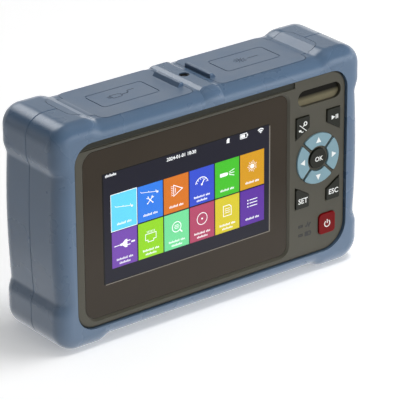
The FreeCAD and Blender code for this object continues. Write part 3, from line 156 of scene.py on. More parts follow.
class Drawing:
    """Flat shapes on one plane, each raised into a thin closed solid of its own colour.

    Sizes are in millimetres. Each shape is a hair higher than the one before it, so that no two
    faces lie in the same plane.
    """

    HAIR = 0.0004

    def __init__(self, plane, low, thickness):
        self.plane = plane
        self.low = low
        self.thickness = thickness
        self.mesh = bmesh.new()
        self.tint = self.mesh.loops.layers.float_color.new("tint")
        self.shapes = 0

    def raise_sheet(self, points, triangles, colour):
        """Closes a triangulated sheet into a solid between the drawing's two heights."""
        high = self.low + self.thickness + self.shapes * self.HAIR
        self.shapes += 1
        lower = [self.mesh.verts.new(self.plane(u, v, self.low)) for u, v in points]
        upper = [self.mesh.verts.new(self.plane(u, v, high)) for u, v in points]
        turned = []
        for a, b, c in triangles:
            (ax, ay), (bx, by), (cx, cy) = points[a], points[b], points[c]
            area = (bx - ax) * (cy - ay) - (cx - ax) * (by - ay)
            if abs(area) > 1e-9:
                turned.append((a, b, c) if area > 0 else (a, c, b))
        edges = {(t[i], t[(i + 1) % 3]) for t in turned for i in range(3)}
        faces = []
        for a, b, c in turned:
            faces.append((upper[a], upper[b], upper[c]))
            faces.append((lower[c], lower[b], lower[a]))
        for a, b in edges:
            if (b, a) not in edges:
                faces.append((lower[a], lower[b], upper[b], upper[a]))
        for corners in faces:
            face = self.mesh.faces.new(corners)
            for loop in face.loops:
                loop[self.tint] = (*colour, 1)

    def plate(self, colour, *loops):
        """A plate with the first loop for its outline and the others for its holes."""
        points = [point for loop in loops for point in loop]
        triangles = tessellate_polygon([[Vector((u, v, 0)) for u, v in loop] for loop in loops])
        self.raise_sheet(points, triangles, colour)

    def line(self, colour, width, points, closed=False):
        """A line of even width through the points."""
        left = offset_line(points, width / 2, closed)
        right = offset_line(points, -width / 2, closed)
        if closed:
            self.plate(colour, left, right)
        else:
            self.plate(colour, left + right[::-1])

    def words(self, colour, text, size, u, v, weight):
        """Letters or numbers centred on a point."""
        letters = bpy.data.curves.new("letters", "FONT")
        letters.body = text
        letters.size = size
        letters.offset = weight
        letters.align_x = "CENTER"
        letters.resolution_u = 3
        holder = bpy.data.objects.new("letters", letters)
        flat = bpy.data.meshes.new_from_object(holder)
        low = min(vertex.co.y for vertex in flat.vertices)
        high = max(vertex.co.y for vertex in flat.vertices)
        rise = v - (low + high) / 2
        flat.calc_loop_triangles()
        points = [(vertex.co.x + u, vertex.co.y + rise) for vertex in flat.vertices]
        self.raise_sheet(points, [tuple(t.vertices) for t in flat.loop_triangles], colour)
        bpy.data.meshes.remove(flat)
        bpy.data.objects.remove(holder)
        bpy.data.curves.remove(letters)

    def finish(self, name, body, slot, material):
        """The drawing as one piece that rides on a body."""
        loose = [vertex for vertex in self.mesh.verts if not vertex.link_faces]
        bmesh.ops.delete(self.mesh, geom=loose, context="VERTS")
        bmesh.ops.recalc_face_normals(self.mesh, faces=self.mesh.faces)
        data = bpy.data.meshes.new(name)
        self.mesh.to_mesh(data)
        self.mesh.free()
        return settle(name, data, body, material)


def settle(name, data, body, material):
    """Puts a mesh in the scene as a piece of the part, which rides on a body if one is given."""
    if not data.polygons:
        raise RuntimeError(name + " has no faces")
    data.materials.append(material)
    piece = bpy.data.objects.new(name, data)
    bpy.context.scene.collection.objects.link(piece)
    if body:
        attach(piece, body)
    return piece


# Turned and swept pieces


def smooth_data(name, mesh):
    """The mesh, shaded smooth between its sharp edges."""
    bmesh.ops.recalc_face_normals(mesh, faces=mesh.faces)
    data = bpy.data.meshes.new(name)
    mesh.to_mesh(data)
    mesh.free()
    data.polygons.foreach_set("use_smooth", [True] * len(data.polygons))
    data.set_sharp_from_angle(angle=SHARP_ANGLE)
    return data


def turned_piece(name, profile, centre, body, material):
    """A piece turned about an upright line through the centre, from (radius, height) points."""
    mesh = bmesh.new()
    rings = []
    for radius, height in profile:
        points = circle(*centre, radius, TURNED_STEPS) if radius else [centre]
        rings.append([mesh.verts.new(top_plane(u, v, height)) for u, v in points])
    for lower, upper in zip(rings, rings[1:] + rings[:1]):
        if len(lower) == len(upper) == 1:
            continue
        for i in range(TURNED_STEPS):
            j = (i + 1) % TURNED_STEPS
            corners = [lower[i % len(lower)], lower[j % len(lower)],
                       upper[j % len(upper)], upper[i % len(upper)]]
            mesh.faces.new(list(dict.fromkeys(corners)))
    return settle(name, smooth_data(name, mesh), body, material)


def swept_piece(name, rings, body, material):
    """A closed skin through rings of points, each ring as long as the others."""
    mesh = bmesh.new()
    lines = [[mesh.verts.new(point) for point in ring] for ring in rings]
    for first, second in zip(lines, lines[1:]):
        for i in range(len(first)):
            j = (i + 1) % len(first)
            mesh.faces.new((first[i], first[j], second[j], second[i]))
    mesh.faces.new(lines[0][::-1])
    mesh.faces.new(lines[-1])
    return settle(name, smooth_data(name, mesh), body, material)


# Line pictures, each drawn about the pen's point


class Pen:
    """Draws in one colour about a point of a drawing."""

    def __init__(self, drawing, ink, u, v):
        self.drawing = drawing
        self.ink = ink
        self.u = u
        self.v = v

    def moved(self, across, up):
        return Pen(self.drawing, self.ink, self.u + across, self.v + up)

    def shifted(self, points):
        return [(u + self.u, v + self.v) for u, v in points]

    def plate(self, points):
        self.drawing.plate(self.ink, self.shifted(points))

    def line(self, width, points, closed=False):
        self.drawing.line(self.ink, width, self.shifted(points), closed)

    def ray(self, width, angle, start, end):
        """A stroke that points away from the pen's point, at an angle in degrees."""
        turn = math.radians(angle)
        self.line(width, [(r * math.cos(turn), r * math.sin(turn)) for r in (start, end)])

    def words(self, text, size, weight):
        self.drawing.words(self.ink, text, size, self.u, self.v, weight)


def draw_trace(pen):
    """A falling trace with its end reflection."""
    pen.line(0.26, [(-5.0, 1.4), (-4.5, 0.8), (-0.6, 0.2), (-0.4, 0.6), (-0.2, 0.1), (3.4, -0.5),
                    (3.7, 0.4), (4.0, -0.9), (4.9, -1.0)])
    pen.plate(rectangle(4.0, -1.3, 5.0, -0.4))


def draw_tools(pen):
    """A trace over a crossed spanner and driver."""
    draw_trace(pen.moved(-0.4, 3.0))
    pen = pen.moved(0, -0.9)
    reach = 1.45
    for side in (-1, 1):
        head, foot = (side * reach, reach), (-side * reach, -reach)
        mouth = 90 - side * 45
        pen.line(0.406, [foot, head])
        pen.line(0.29, arc(*head, 0.522, mouth + 50, mouth + 310))
        pen.plate(circle(*foot, 0.377, 12))


def draw_pennant(pen):
    pen.line(0.36, [(-1.4, 2.7), (3.6, 0), (-1.4, -2.7)], closed=True)
    for i in range(6):
        rise = 2.2 - 0.88 * i
        pen.line(0.24, [(-2.9, rise), (-1.9, rise)])
    pen.line(0.3, [(-0.4, 1.2), (-0.4, -1.2)])


def draw_dial(pen):
    pen = pen.moved(0, -1.2)
    pen.line(0.42, arc(0, 0, 3.6, 12, 168, 24))
    for angle in range(20, 170, 28):
        pen.ray(0.26, angle, 2.5, 3.2)
    pen.line(0.5, [(0, 0), (1.5, 2.4)])
    pen.plate(circle(0, 0, 0.55, 16))


def draw_beam(pen):
    pen.plate(rounded(-4.2, -0.9, -0.4, 0.9, 0.35))
    pen.plate([(-0.4, -0.9), (0.5, -0.5), (0.5, 0.5), (-0.4, 0.9)])
    for rise in (-1.6, 0.0, 1.6):
        pen.line(0.34, [(1.2, rise * 0.4), (4.2, rise)])


def draw_burst(pen):
    pen.plate(circle(0, 0, 1.15, 20))
    for i in range(14):
        pen.ray(0.24, 360 * i / 14, 1.5, 2.9 if i % 2 else 2.4)


def draw_plug(pen):
    pen.plate([(-2.4, -0.5), (-1.2, -0.6), (0.3, -1.9), (1.5, -2.0), (1.5, 2.0), (0.3, 1.9),
               (-1.2, 0.6), (-2.4, 0.5)])
    pen.line(0.4, [(-5.8, -0.1), (-2.4, 0.0)])
    for rise in (-1.0, 1.0):
        pen.line(0.45, [(1.5, rise), (3.2, rise)])
    pen.line(0.8, [(3.7, 0.0), (5.8, 0.0)])


def draw_modular(pen):
    pen.line(0.3, [(-3.0, 1.0), (3.0, 1.0), (3.0, -2.0), (1.6, -2.0), (1.6, -3.0), (-1.6, -3.0),
                   (-1.6, -2.0), (-3.0, -2.0)], closed=True)
    for i in range(6):
        across = -2.0 + 0.8 * i
        pen.line(0.26, [(across, 1.5), (across, 2.5)])


def draw_magnifier(pen):
    pen.line(0.4, circle(0, 0, 2.5, 28), closed=True)
    pen.line(0.6, [(1.8, -1.8), (3.2, -3.2)])
    for rise, half in ((0.9, 1.1), (0.1, 1.5), (-0.7, 1.1)):
        pen.line(0.3, [(-half, rise), (half, rise)])


def draw_ring(pen):
    pen.line(0.36, circle(0, 0, 2.9), closed=True)
    pen.plate(circle(0, 0, 0.5, 14))


def draw_page(pen):
    pen.line(0.32, [(-2.3, 2.6), (1.2, 2.6), (2.3, 1.5), (2.3, -2.6), (-2.3, -2.6)], closed=True)
    for rise in (1.0, 0.0, -1.0):
        pen.line(0.26, [(-1.4, rise), (1.4, rise)])


def draw_list(pen):
    for rise in (1.6, 0.0, -1.6):
        pen.plate(circle(-2.6, rise, 0.4, 12))
        pen.line(0.4, [(-1.6, rise), (3.0, rise)])


GLYPHS = {"trace": draw_trace, "tools": draw_tools, "pennant": draw_pennant, "dial": draw_dial,
          "beam": draw_beam, "burst": draw_burst, "plug": draw_plug, "modular": draw_modular,
          "magnifier": draw_magnifier, "ring": draw_ring, "page": draw_page, "list": draw_list}


def draw_caption(pen, width, height):
    """A line of small strokes that stands for a caption and spells nothing."""
    rises = (1.0, 0.72, 0.72, 0.95, 0.7, 0.0, 1.0, 0.7, 0.74, 0.98, 0.72, 0.7)
    pitch, stroke = 0.62, 0.3844
    count = int(width / pitch)
    for i in range(count):
        rise = rises[(i * 5 + count) % len(rises)] * height
        if rise:
            left = (i - 0.3 - (count - 1) / 2) * pitch
            pen.plate(rectangle(left, 0, left + stroke, rise))


def draw_lens_and_fibre(pen):
    """A lens over a fibre end, divided by a slanting line."""
    pen.line(0.36, [(-2.3, 1.5), (1.9, -2.1)])
    pen.line(0.5, circle(1.2, 1.7, 0.85, 20), closed=True)
    pen.line(0.55, [(0.5, 1.0), (-0.2, 0.5)])
    pen.plate(rounded(-2.7, -1.9, -1.3, -0.9, 0.35))
    pen.line(0.4, arc(-0.7, -1.6, 0.7, 150, 330, 8))


def draw_run(pen):
    """A triangle and two bars, for start and pause."""
    pen.plate([(-2.1, -1.1), (0.1, 0), (-2.1, 1.1)])
    for across in (0.65, 1.6):
        pen.plate(rectangle(across - 0.25, -1.1, across + 0.25, 1.1))


def draw_power(pen):
    pen.line(0.5, arc(0, -0.2, 1.6, 125, 415, 28))
    pen.line(0.5, [(0, 0), (0, 2.0)])


def draw_cable(pen, width):
    """A plug on its cable, for the data sockets."""
    pen.line(width, [(-1.6, 1.7), (-6.0, 1.7), (-6.0, -1.7), (-1.6, -1.7), (-0.4, -0.8),
                     (-0.4, 0.8)], closed=True)
    for rise in (-0.9, 0.0, 0.9):
        pen.line(width * 0.8, [(-8.0, rise), (-6.2, rise)])
    pen.line(width, [(-0.2, 0.0), (2.6, 0.0)] + arc(2.6, 1.2, 1.2, 270, 360, 6)
             + arc(5.0, 1.2, 1.2, 180, 90, 6) + [(8.0, 2.4)])


def draw_ray_and_burst(pen, width):
    """A beam that ends in a burst, for the optical ports."""
    for i in range(10):
        angle = math.tau * (i + 0.5) / 10
        pen.line(width * 0.8, [(-2.4 + r * math.cos(angle), 0.82 * r * math.sin(angle))
                               for r in (1.5, 3.4)])
    pen.line(width, circle(-2.4, 0, 0.85, 16), closed=True)
    pen.line(width, [(1.8, 0), (8.2, 0)])


# Settings that a user would change


def colour_setting(name, description, colour):
    return FloatVectorProperty(name=name, description=description, subtype="COLOR", size=3,
                               min=0, max=1, default=colour)


def length_setting(name, description, millimetres):
    return FloatProperty(name=name, description=description, subtype="DISTANCE", unit="LENGTH",
                         precision=5, default=millimetres * MM)


def share_setting(name, description, share):
    return FloatProperty(name=name, description=description, subtype="FACTOR", min=0, max=1,
                         default=share)


def strength_setting(name, description, strength):
    return FloatProperty(name=name, description=description, min=0, default=strength)


def power_setting(name, description, watts):
    return FloatProperty(name=name, description=description, subtype="POWER", unit="POWER",
                         min=0, default=watts)


def point_setting(name, description, metres):
    return FloatVectorProperty(name=name, description=description, subtype="XYZ", unit="LENGTH",
                               default=metres)


class CaseSettings(bpy.types.PropertyGroup):
    body_colour: colour_setting("Body", "Colour of the two shells", paint(84, 107, 133))
    stand_colour: colour_setting("Stand", "Colour of the tilt stand", paint(56, 60, 64))
    cover_colour: colour_setting("Cover", "Colour of the battery cover", paint(81, 103, 129))
    screw_colour: colour_setting("Screws", "Colour of the blackened screws", paint(92, 92, 95))
    grain_size: length_setting("Grain", "Size of the moulded grain", 0.45)
    grain_depth: length_setting("Grain depth", "Depth of the moulded grain", 0.02)
    edge_wear: share_setting("Edge wear", "How much the edges are rubbed", 0.05)
    dust: share_setting("Dust", "How much dust lies on the upper faces", 0.05)


class FlapSettings(bpy.types.PropertyGroup):
    rubber_colour: colour_setting("Rubber", "Colour of the flaps and their tongues",
                                  paint(88, 110, 136))
    # painted shade: the pictograms are grooves moulded in the flap's own rubber, and their lines
    # are coloured darker for the shade in those grooves
    groove_shade_colour: colour_setting("Marks", "Colour in the moulded pictograms", paint(52, 68, 88))
    mark_width: length_setting("Mark width", "Width of the pictogram lines", 0.4)
    mark_height: length_setting("Mark height", "How far the pictogram lines stand up", 0.05)


class BezelSettings(bpy.types.PropertyGroup):
    panel_colour: colour_setting("Bezel", "Colour of the front bezel", paint(71, 69, 59))
    badge_colour: colour_setting("Badge plate", "Colour of the bare plate", paint(116, 110, 88))
    glass_colour: colour_setting("Cover glass", "Colour printed behind the glass",
                                 paint(53, 45, 35))
    lamp_colour: colour_setting("Indicators", "Colour of the unlit indicators", paint(48, 48, 45))
    # painted shadow: this colour darkens the sunk strip over the glass, where the case's edge
    # shades it
    brow_shadow_colour: colour_setting("Brow", "Colour of the sunk strip over the glass",
                                paint(46, 47, 42))
    print_colour: colour_setting("Print", "Colour of the small pictograms", paint(14, 16, 18))


class TileSettings(bpy.types.PropertyGroup):
    colour: colour_setting("Colour", "Colour of the tile", paint(100, 100, 100))
    glyph: EnumProperty(name="Glyph", description="Line picture on the tile",
                        items=[(name, name.capitalize(), "") for name in GLYPHS])
    captions: IntProperty(name="Captions", description="Number of caption lines", default=1,
                          min=0, max=2)


TILES = [
    ((98, 208, 248), "trace", 1), ((48, 120, 222), "tools", 1), ((206, 112, 32), "pennant", 1),
    ((52, 76, 196), "dial", 2), ((66, 182, 40), "beam", 1), ((202, 146, 26), "burst", 1),
    ((112, 70, 166), "plug", 2), ((140, 206, 30), "modular", 2), ((112, 212, 148), "magnifier", 2),
    ((170, 68, 98), "ring", 2), ((206, 190, 44), "page", 2), ((88, 46, 150), "list", 1),
]


class ScreenSettings(bpy.types.PropertyGroup):
    back_colour: colour_setting("Background", "Colour behind the tiles", paint(22, 22, 36))
    ink_colour: colour_setting("Ink", "Colour of the glyphs and captions", paint(246, 248, 250))
    shade_colour: colour_setting("Upper edge", "Colour of the shaded edge", paint(8, 7, 9))
    light_colour: colour_setting("Lower edge", "Colour of the lit edge", paint(120, 114, 106))
    width: length_setting("Width", "Width of the lit area", 95.04)
    height: length_setting("Height", "Height of the lit area", 53.86)
    tile_left: length_setting("Tile margin", "From the lit area's left edge to the tiles", 4.4)
    tile_top: length_setting("Tile drop", "From the lit area's upper edge to the tiles", 11.0)
    tile_width: length_setting("Tile width", "Width of one tile", 14.1)
    tile_height: length_setting("Tile height", "Height of one tile", 17.75)
    tile_gap: length_setting("Tile gap", "Gap between tiles", 0.62)
    glow: strength_setting("Glow", "Strength of the backlight", 0.3)
    tiles: CollectionProperty(type=TileSettings)


class KeySettings(bpy.types.PropertyGroup):
    dark_colour: colour_setting("Dark keys", "Colour of the dark keys", paint(22, 24, 15))
    light_colour: colour_setting("Ring keys", "Colour of the ring keys", paint(128, 160, 172))
    red_colour: colour_setting("Power key", "Colour of the power key", paint(112, 1, 6))
    legend_colour: colour_setting("Legends", "Colour of the printed legends", paint(238, 240, 238))
    legend_height: length_setting("Legend height", "Height of the legends' capitals", 3.1)
    print_thickness: length_setting("Print thickness", "How far the print stands up", 0.03)


class SocketSettings(bpy.types.PropertyGroup):
    tray_colour: colour_setting("Trays", "Colour of the socket trays", paint(52, 53, 56))
    body_colour: colour_setting("Sockets", "Colour of the socket bodies", paint(36, 36, 38))
    nickel_colour: colour_setting("Nickel", "Colour of the optical ports", paint(206, 206, 202))
    contact_colour: colour_setting("Contacts", "Colour of the gilded contacts",
                                   paint(222, 178, 92))
    ceramic_colour: colour_setting("Ceramic", "Colour of the alignment sleeves",
                                   paint(236, 236, 230))
    contact_width: length_setting("Contact width", "Width of one contact", 0.34)
    contact_pitch: length_setting("Contact pitch", "Pitch of the contacts", 1.02)


class StageSettings(bpy.types.PropertyGroup):
    floor_colour: colour_setting("Floor", "Colour of the floor", (0.93, 0.93, 0.93))
    floor_radius: FloatProperty(name="Floor radius", description="Radius of the floor",
                                subtype="DISTANCE", unit="LENGTH", default=6.0)
    sky_strength: strength_setting("Sky", "Strength of the even light", 0.4)
    back_shine: strength_setting("Back shine", "Strength of the patch mirrored by the slopes",
                                 4.5)
    key_power: power_setting("Key light", "Power of the large lamp", 13.0)
    front_power: power_setting("Front light", "Power of the low front lamp", 9.0)
    fill_power: power_setting("Fill light", "Power of the small side lamp", 0.4)
    camera_place: point_setting("Camera", "Place of the camera", (-0.7455, -0.9835, 0.5941))
    camera_aim: point_setting("Aim", "Point that the camera looks at",
                              (-0.0076, -0.0213, 0.0554))
    camera_roll: FloatProperty(name="Roll", description="Tilt of the camera about its own line",
                               subtype="ANGLE", unit="ROTATION", default=math.radians(0.384))
    camera_lens: FloatProperty(name="Lens", description="Focal length on a 36 mm sensor",
                               unit="CAMERA", default=260.5)


SETTINGS = {
    "reflectometer_case": CaseSettings,
    "reflectometer_flaps": FlapSettings,
    "reflectometer_bezel": BezelSettings,
    "reflectometer_screen": ScreenSettings,
    "reflectometer_keys": KeySettings,
    "reflectometer_sockets": SocketSettings,
    "reflectometer_stage": StageSettings,
}


# Finishes


DUST_COLOUR = paint(176, 172, 164)
BARE_METAL_COLOUR = (0.86, 0.86, 0.85)
PAD_COLOUR = paint(204, 190, 150)
GLASS_SPECULAR = 0.18
LATTICE_PER_METRE = 5050.0
CLOUDS_PER_METRE = 40.0
PATCHES_PER_METRE = 150.0
DRIFTS_PER_METRE = 60.0


class Wiring:
    """Adds nodes to one tree, with their settings and what feeds them."""

    def __init__(self, tree):
        self.tree = tree

    def add(self, kind, inputs=None, **settings):
        node = self.tree.nodes.new(kind)
        for name, value in settings.items():
            setattr(node, name, value)
        for socket, value in (inputs or {}).items():
            self.feed(node, socket, value)
        return node

    def feed(self, node, socket, value):
        if isinstance(value, bpy.types.NodeSocket):
            self.tree.links.new(value, node.inputs[socket])
        else:
            node.inputs[socket].default_value = value

    def place(self):
        return self.add("ShaderNodeTexCoord").outputs["Object"]

    def math(self, operation, first, second=0.0, clamp=False):
        node = self.add("ShaderNodeMath", {0: first, 1: second}, operation=operation,
                        use_clamp=clamp)
        return node.outputs[0]

    def times(self, first, second, clamp=False):
        return self.math("MULTIPLY", first, second, clamp)

    def dot(self, first, second):
        node = self.add("ShaderNodeVectorMath", {0: first, 1: second}, operation="DOT_PRODUCT")
        return node.outputs["Value"]

    def blend(self, share, first, second, mode="MIX"):
        node = self.add("ShaderNodeMix", {"Factor": share}, data_type="RGBA", blend_type=mode)
        for socket, value in ((6, first), (7, second)):
            linked = isinstance(value, bpy.types.NodeSocket)
            self.feed(node, socket, value if linked else (*value, 1))
        return node.outputs[2]

    def shaded(self, colour, shade):
        """A colour times a grey."""
        grey = self.add("ShaderNodeCombineColor", {0: shade, 1: shade, 2: shade})
        return self.blend(1.0, colour, grey.outputs[0], "MULTIPLY")

    def spread(self, value, low, high, new_low, new_high):
        node = self.add("ShaderNodeMapRange", {"Value": value, "From Min": low, "From Max": high,
                                               "To Min": new_low, "To Max": new_high})
        return node.outputs["Result"]

    def noise(self, place, scale, detail=2.0, roughness=0.5):
        node = self.add("ShaderNodeTexNoise", {"Vector": place, "Scale": scale,
                                               "Detail": detail, "Roughness": roughness})
        return node.outputs["Fac"]

    def swing(self, noise, new_low, new_high):
        """A noise, which lies mostly about its middle, spread over a new range."""
        return self.spread(noise, 0.3, 0.7, new_low, new_high)

    def bump(self, shader, height, millimetres, strength=1.0):
        node = self.add("ShaderNodeBump", {"Height": height, "Strength": strength,
                                           "Distance": millimetres * MM})
        self.feed(shader, "Normal", node.outputs[0])


def effect(name, inputs, outputs, wire):
    """A node group for an effect that several finishes share. It is built once."""
    group = bpy.data.node_groups.get(name)
    if group:
        return group
    group = bpy.data.node_groups.new(name, "ShaderNodeTree")
    kinds = {"Color": "NodeSocketColor", "Value": "NodeSocketFloat"}
    for label, kind, default in inputs:
        socket = group.interface.new_socket(name=label, in_out="INPUT", socket_type=kinds[kind])
        socket.default_value = default
    for label, kind in outputs:
        group.interface.new_socket(name=label, in_out="OUTPUT", socket_type=kinds[kind])
    wires = Wiring(group)
    wires.add("NodeGroupOutput", wire(wires, wires.add("NodeGroupInput").outputs))
    return group


def moulded_grain():
    """Fine spark-eroded grain, cloudy variation of the colour, and uneven gloss."""

    def wire(wires, given):
        place = wires.place()
        grain = wires.noise(place, wires.math("DIVIDE", 1.0, given["Grain Size"]), 3.0, 0.6)
        clouds = wires.swing(wires.noise(place, CLOUDS_PER_METRE, 3.0, 0.55), -1.0, 1.0)
        lighter = wires.math("ADD", 1.0, wires.times(clouds, given["Cloud"]))
        specks = wires.times(wires.swing(grain, -1.0, 1.0), given["Speck"])
        colour = wires.shaded(given["Color"], wires.math("ADD", lighter, specks))
        roughness = wires.math("ADD", given["Roughness"],
                               wires.times(clouds, given["Gloss Change"]), clamp=True)
        return {"Color": colour, "Roughness": roughness, "Height": grain}

    return effect("moulded_grain",
                  [("Color", "Color", (0.5, 0.5, 0.5, 1)), ("Roughness", "Value", 0.5),
                   ("Grain Size", "Value", 0.4 * MM), ("Cloud", "Value", 0.04),
                   ("Speck", "Value", 0.03), ("Gloss Change", "Value", 0.05)],
                  [("Color", "Color"), ("Roughness", "Value"), ("Height", "Value")], wire)


def rubbed_edges():
    """A mask that is strong where an edge is sharp and rubbed."""

    def wire(wires, given):
        soft = wires.add("ShaderNodeBevel", {"Radius": given["Radius"]}, samples=4)
        true = wires.add("ShaderNodeNewGeometry")
        bend = wires.math("SUBTRACT", 1.0, wires.dot(soft.outputs[0], true.outputs["Normal"]))
        strong = wires.times(bend, 9.0, clamp=True)
        patches = wires.spread(wires.noise(wires.place(), PATCHES_PER_METRE, 4.0, 0.6),
                               0.38, 0.62, 0.0, 1.0)
        return {"Mask": wires.times(wires.times(strong, patches), given["Amount"], clamp=True)}

    return effect("rubbed_edges", [("Radius", "Value", 0.5 * MM), ("Amount", "Value", 0.3)],
                  [("Mask", "Value")], wire)


def settled_dust():
    """A mask of fine dust on the faces that look up."""

    def wire(wires, given):
        normal = wires.add("ShaderNodeNewGeometry").outputs["Normal"]
        up = wires.add("ShaderNodeSeparateXYZ", {0: normal}).outputs["Z"]
        upward = wires.spread(up, 0.55, 1.0, 0.0, 1.0)
        drifts = wires.spread(wires.noise(wires.place(), DRIFTS_PER_METRE, 4.0, 0.6),
                              0.35, 0.75, 0.15, 1.0)
        return {"Mask": wires.times(wires.times(upward, drifts), given["Amount"], clamp=True)}

    return effect("settled_dust", [("Amount", "Value", 0.1)], [("Mask", "Value")], wire)


def fresh(name, constants=None):
    """A new material with its wiring, its shader and nothing else."""
    material = bpy.data.materials.new(name)
    material.use_nodes = True
    material.node_tree.nodes.clear()
    wires = Wiring(material.node_tree)
    shader = wires.add("ShaderNodeBsdfPrincipled", constants)
    wires.add("ShaderNodeOutputMaterial", {"Surface": shader.outputs[0]})
    return material, wires, shader


def moulding(name, colour, roughness, grain_size=0.45, grain_depth=0.02, cloud=0.04, speck=0.03,
             wear=0.0, dust=0.0, coat=0.0, gloss_change=0.05, specular=0.5):
    """A moulded, painted or plated surface with its grain, rubbed edges and dust."""
    material, wires, shader = fresh(name, {"Specular IOR Level": specular})
    grain = wires.add("ShaderNodeGroup", {"Color": (*colour, 1), "Roughness": roughness,
                                          "Grain Size": grain_size * MM, "Cloud": cloud,
                                          "Speck": speck, "Gloss Change": gloss_change},
                      node_tree=moulded_grain())
    surface, gloss = grain.outputs["Color"], grain.outputs["Roughness"]
    if wear:
        edges = wires.add("ShaderNodeGroup", {"Amount": wear}, node_tree=rubbed_edges())
        lighter = tuple(min(1, value * 1.5 + 0.03) for value in colour)
        surface = wires.blend(edges.outputs["Mask"], surface, lighter)
    if dust:
        drift = wires.add("ShaderNodeGroup", {"Amount": dust}, node_tree=settled_dust())
        surface = wires.blend(drift.outputs["Mask"], surface, DUST_COLOUR)
        gloss = wires.math("ADD", gloss, wires.times(drift.outputs["Mask"], 0.3), clamp=True)
    wires.feed(shader, "Base Color", surface)
    wires.feed(shader, "Roughness", gloss)
    if coat:
        wires.feed(shader, "Coat Weight", coat)
        wires.feed(shader, "Coat Roughness", 0.12)
    if grain_depth:
        wires.bump(shader, grain.outputs["Height"], grain_depth)
    return material


def clear_moulding(name, colour, roughness):
    """A clear moulding or lens, with faint swirls in its gloss."""
    material, wires, shader = fresh(name, {"Metallic": 0.0, "Transmission Weight": 1.0,
                                           "IOR": 1.49})
    grain = wires.add("ShaderNodeGroup", {"Color": (*colour, 1), "Roughness": roughness,
                                          "Grain Size": 2 * MM, "Cloud": 0.02, "Speck": 0.0,
                                          "Gloss Change": 0.03}, node_tree=moulded_grain())
    wires.feed(shader, "Base Color", grain.outputs["Color"])
    wires.feed(shader, "Roughness", grain.outputs["Roughness"])
    return material


def brushed_metal(name, colour, roughness, stretch, wear=0.15):
    """Metal with fine drawn lines along one direction."""
    material, wires, shader = fresh(name, {"Metallic": 1.0})
    place = wires.place()
    drawn = wires.add("ShaderNodeMapping", {"Vector": place, "Scale": stretch})
    lines = wires.noise(drawn.outputs[0], 900.0, 4.0, 0.65)
    shade = wires.swing(wires.noise(place, 90.0, 3.0, 0.5), 0.9, 1.06)
    surface = wires.shaded(colour, wires.times(shade, wires.swing(lines, 0.94, 1.05)))
    edges = wires.add("ShaderNodeGroup", {"Amount": wear, "Radius": 0.25 * MM},
                      node_tree=rubbed_edges())
    wires.feed(shader, "Base Color",
               wires.blend(edges.outputs["Mask"], surface, BARE_METAL_COLOUR))
    wires.feed(shader, "Roughness", wires.swing(lines, roughness - 0.06, roughness + 0.08))
    wires.bump(shader, lines, 0.01, 0.6)
    return material


def circuit_board(name, colour):
    """Solder resist over copper tracks, with plated pads."""
    material, wires, shader = fresh(name)
    place = wires.place()
    bricks = wires.add("ShaderNodeTexBrick", {"Vector": place, "Scale": 260.0,
                                              "Mortar Size": 0.06, "Mortar Smooth": 0.2,
                                              "Bias": 0.0, "Brick Width": 0.9,
                                              "Row Height": 0.3},
                       offset=0.37, squash=0.6).outputs["Fac"]
    track = tuple(value * 1.9 + 0.01 for value in colour)
    pads = wires.spread(wires.noise(place, 700.0, 1.0, 0.4), 0.66, 0.7, 0.0, 1.0)
    wires.feed(shader, "Base Color", wires.blend(pads, wires.blend(bricks, colour, track),
                                                 PAD_COLOUR))
    wires.feed(shader, "Roughness", wires.spread(bricks, 0.0, 1.0, 0.32, 0.24))
    wires.bump(shader, bricks, 0.03, 0.7)
    return material


def printed_glass(name, colour):
    """Cover glass printed dark from behind, with a few faint wiped smears."""
    material, wires, shader = fresh(name, {"Specular IOR Level": GLASS_SPECULAR})
    place = wires.place()
    shade = wires.swing(wires.noise(place, 24.0, 3.0, 0.5), 0.95, 1.06)
    wires.feed(shader, "Base Color", wires.shaded(colour, shade))
    wiped = wires.add("ShaderNodeMapping", {"Vector": place, "Scale": (1.0, 1.0, 3.2)})
    smears = wires.noise(wiped.outputs[0], 60.0, 5.0, 0.62)
    wires.feed(shader, "Roughness", wires.spread(smears, 0.42, 0.75, 0.07, 0.2))
    return material


def plate_with_painted_shadow(name, colour, node):
    """A lacquered plate that darkens to black towards its upper edge: a painted shadow cast by the
    upper wall of its recess.
    """
    material, wires, shader = fresh(name, {"Specular IOR Level": 0.08})
    low, high = low_corner(node).z * MM, high_corner(node).z * MM
    place = wires.place()
    rise = wires.add("ShaderNodeSeparateXYZ", {0: place}).outputs["Z"]
    # painted shadow: black over the upper half of the plate, where the recess's upper wall shades
    # it
    painted_shadow = wires.spread(rise, low + 0.3 * (high - low), low + 0.6 * (high - low), 1.0, 0.03)
    grain = wires.noise(place, 1400.0, 3.0, 0.6)
    shade = wires.times(painted_shadow, wires.swing(grain, 0.94, 1.06))
    wires.feed(shader, "Base Color", wires.shaded(colour, shade))
    wires.feed(shader, "Roughness", wires.swing(grain, 0.3, 0.4))
    return material


def lit_display(name, glow):
    """The picture on the display: the tint of each shape, broken up by the fine lattice."""
    material, wires, shader = fresh(name, {"Emission Strength": glow,
                                           "Specular IOR Level": GLASS_SPECULAR})
    place = wires.place()
    tint = wires.add("ShaderNodeAttribute", attribute_name="tint").outputs["Color"]
    part = wires.add("ShaderNodeSeparateXYZ", {0: place})
    cells = []
    for axis in ("X", "Z"):
        run = wires.math("FRACT", wires.times(part.outputs[axis], LATTICE_PER_METRE))
        cells.append(wires.spread(wires.math("ABSOLUTE", wires.math("SUBTRACT", run, 0.5)),
                                  0.38, 0.5, 1.0, 0.72))
    picture = wires.shaded(tint, wires.times(*cells))
    wires.feed(shader, "Base Color", picture)
    wires.feed(shader, "Emission Color", picture)
    wires.feed(shader, "Roughness", wires.swing(wires.noise(place, 30.0, 3.0, 0.5), 0.1, 0.16))
    return material


def dress(material, *nodes):
    """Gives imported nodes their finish."""
    for node in nodes:
        slots = NODES[node].data.materials
        slots.clear()
        slots.append(material)


# Operators


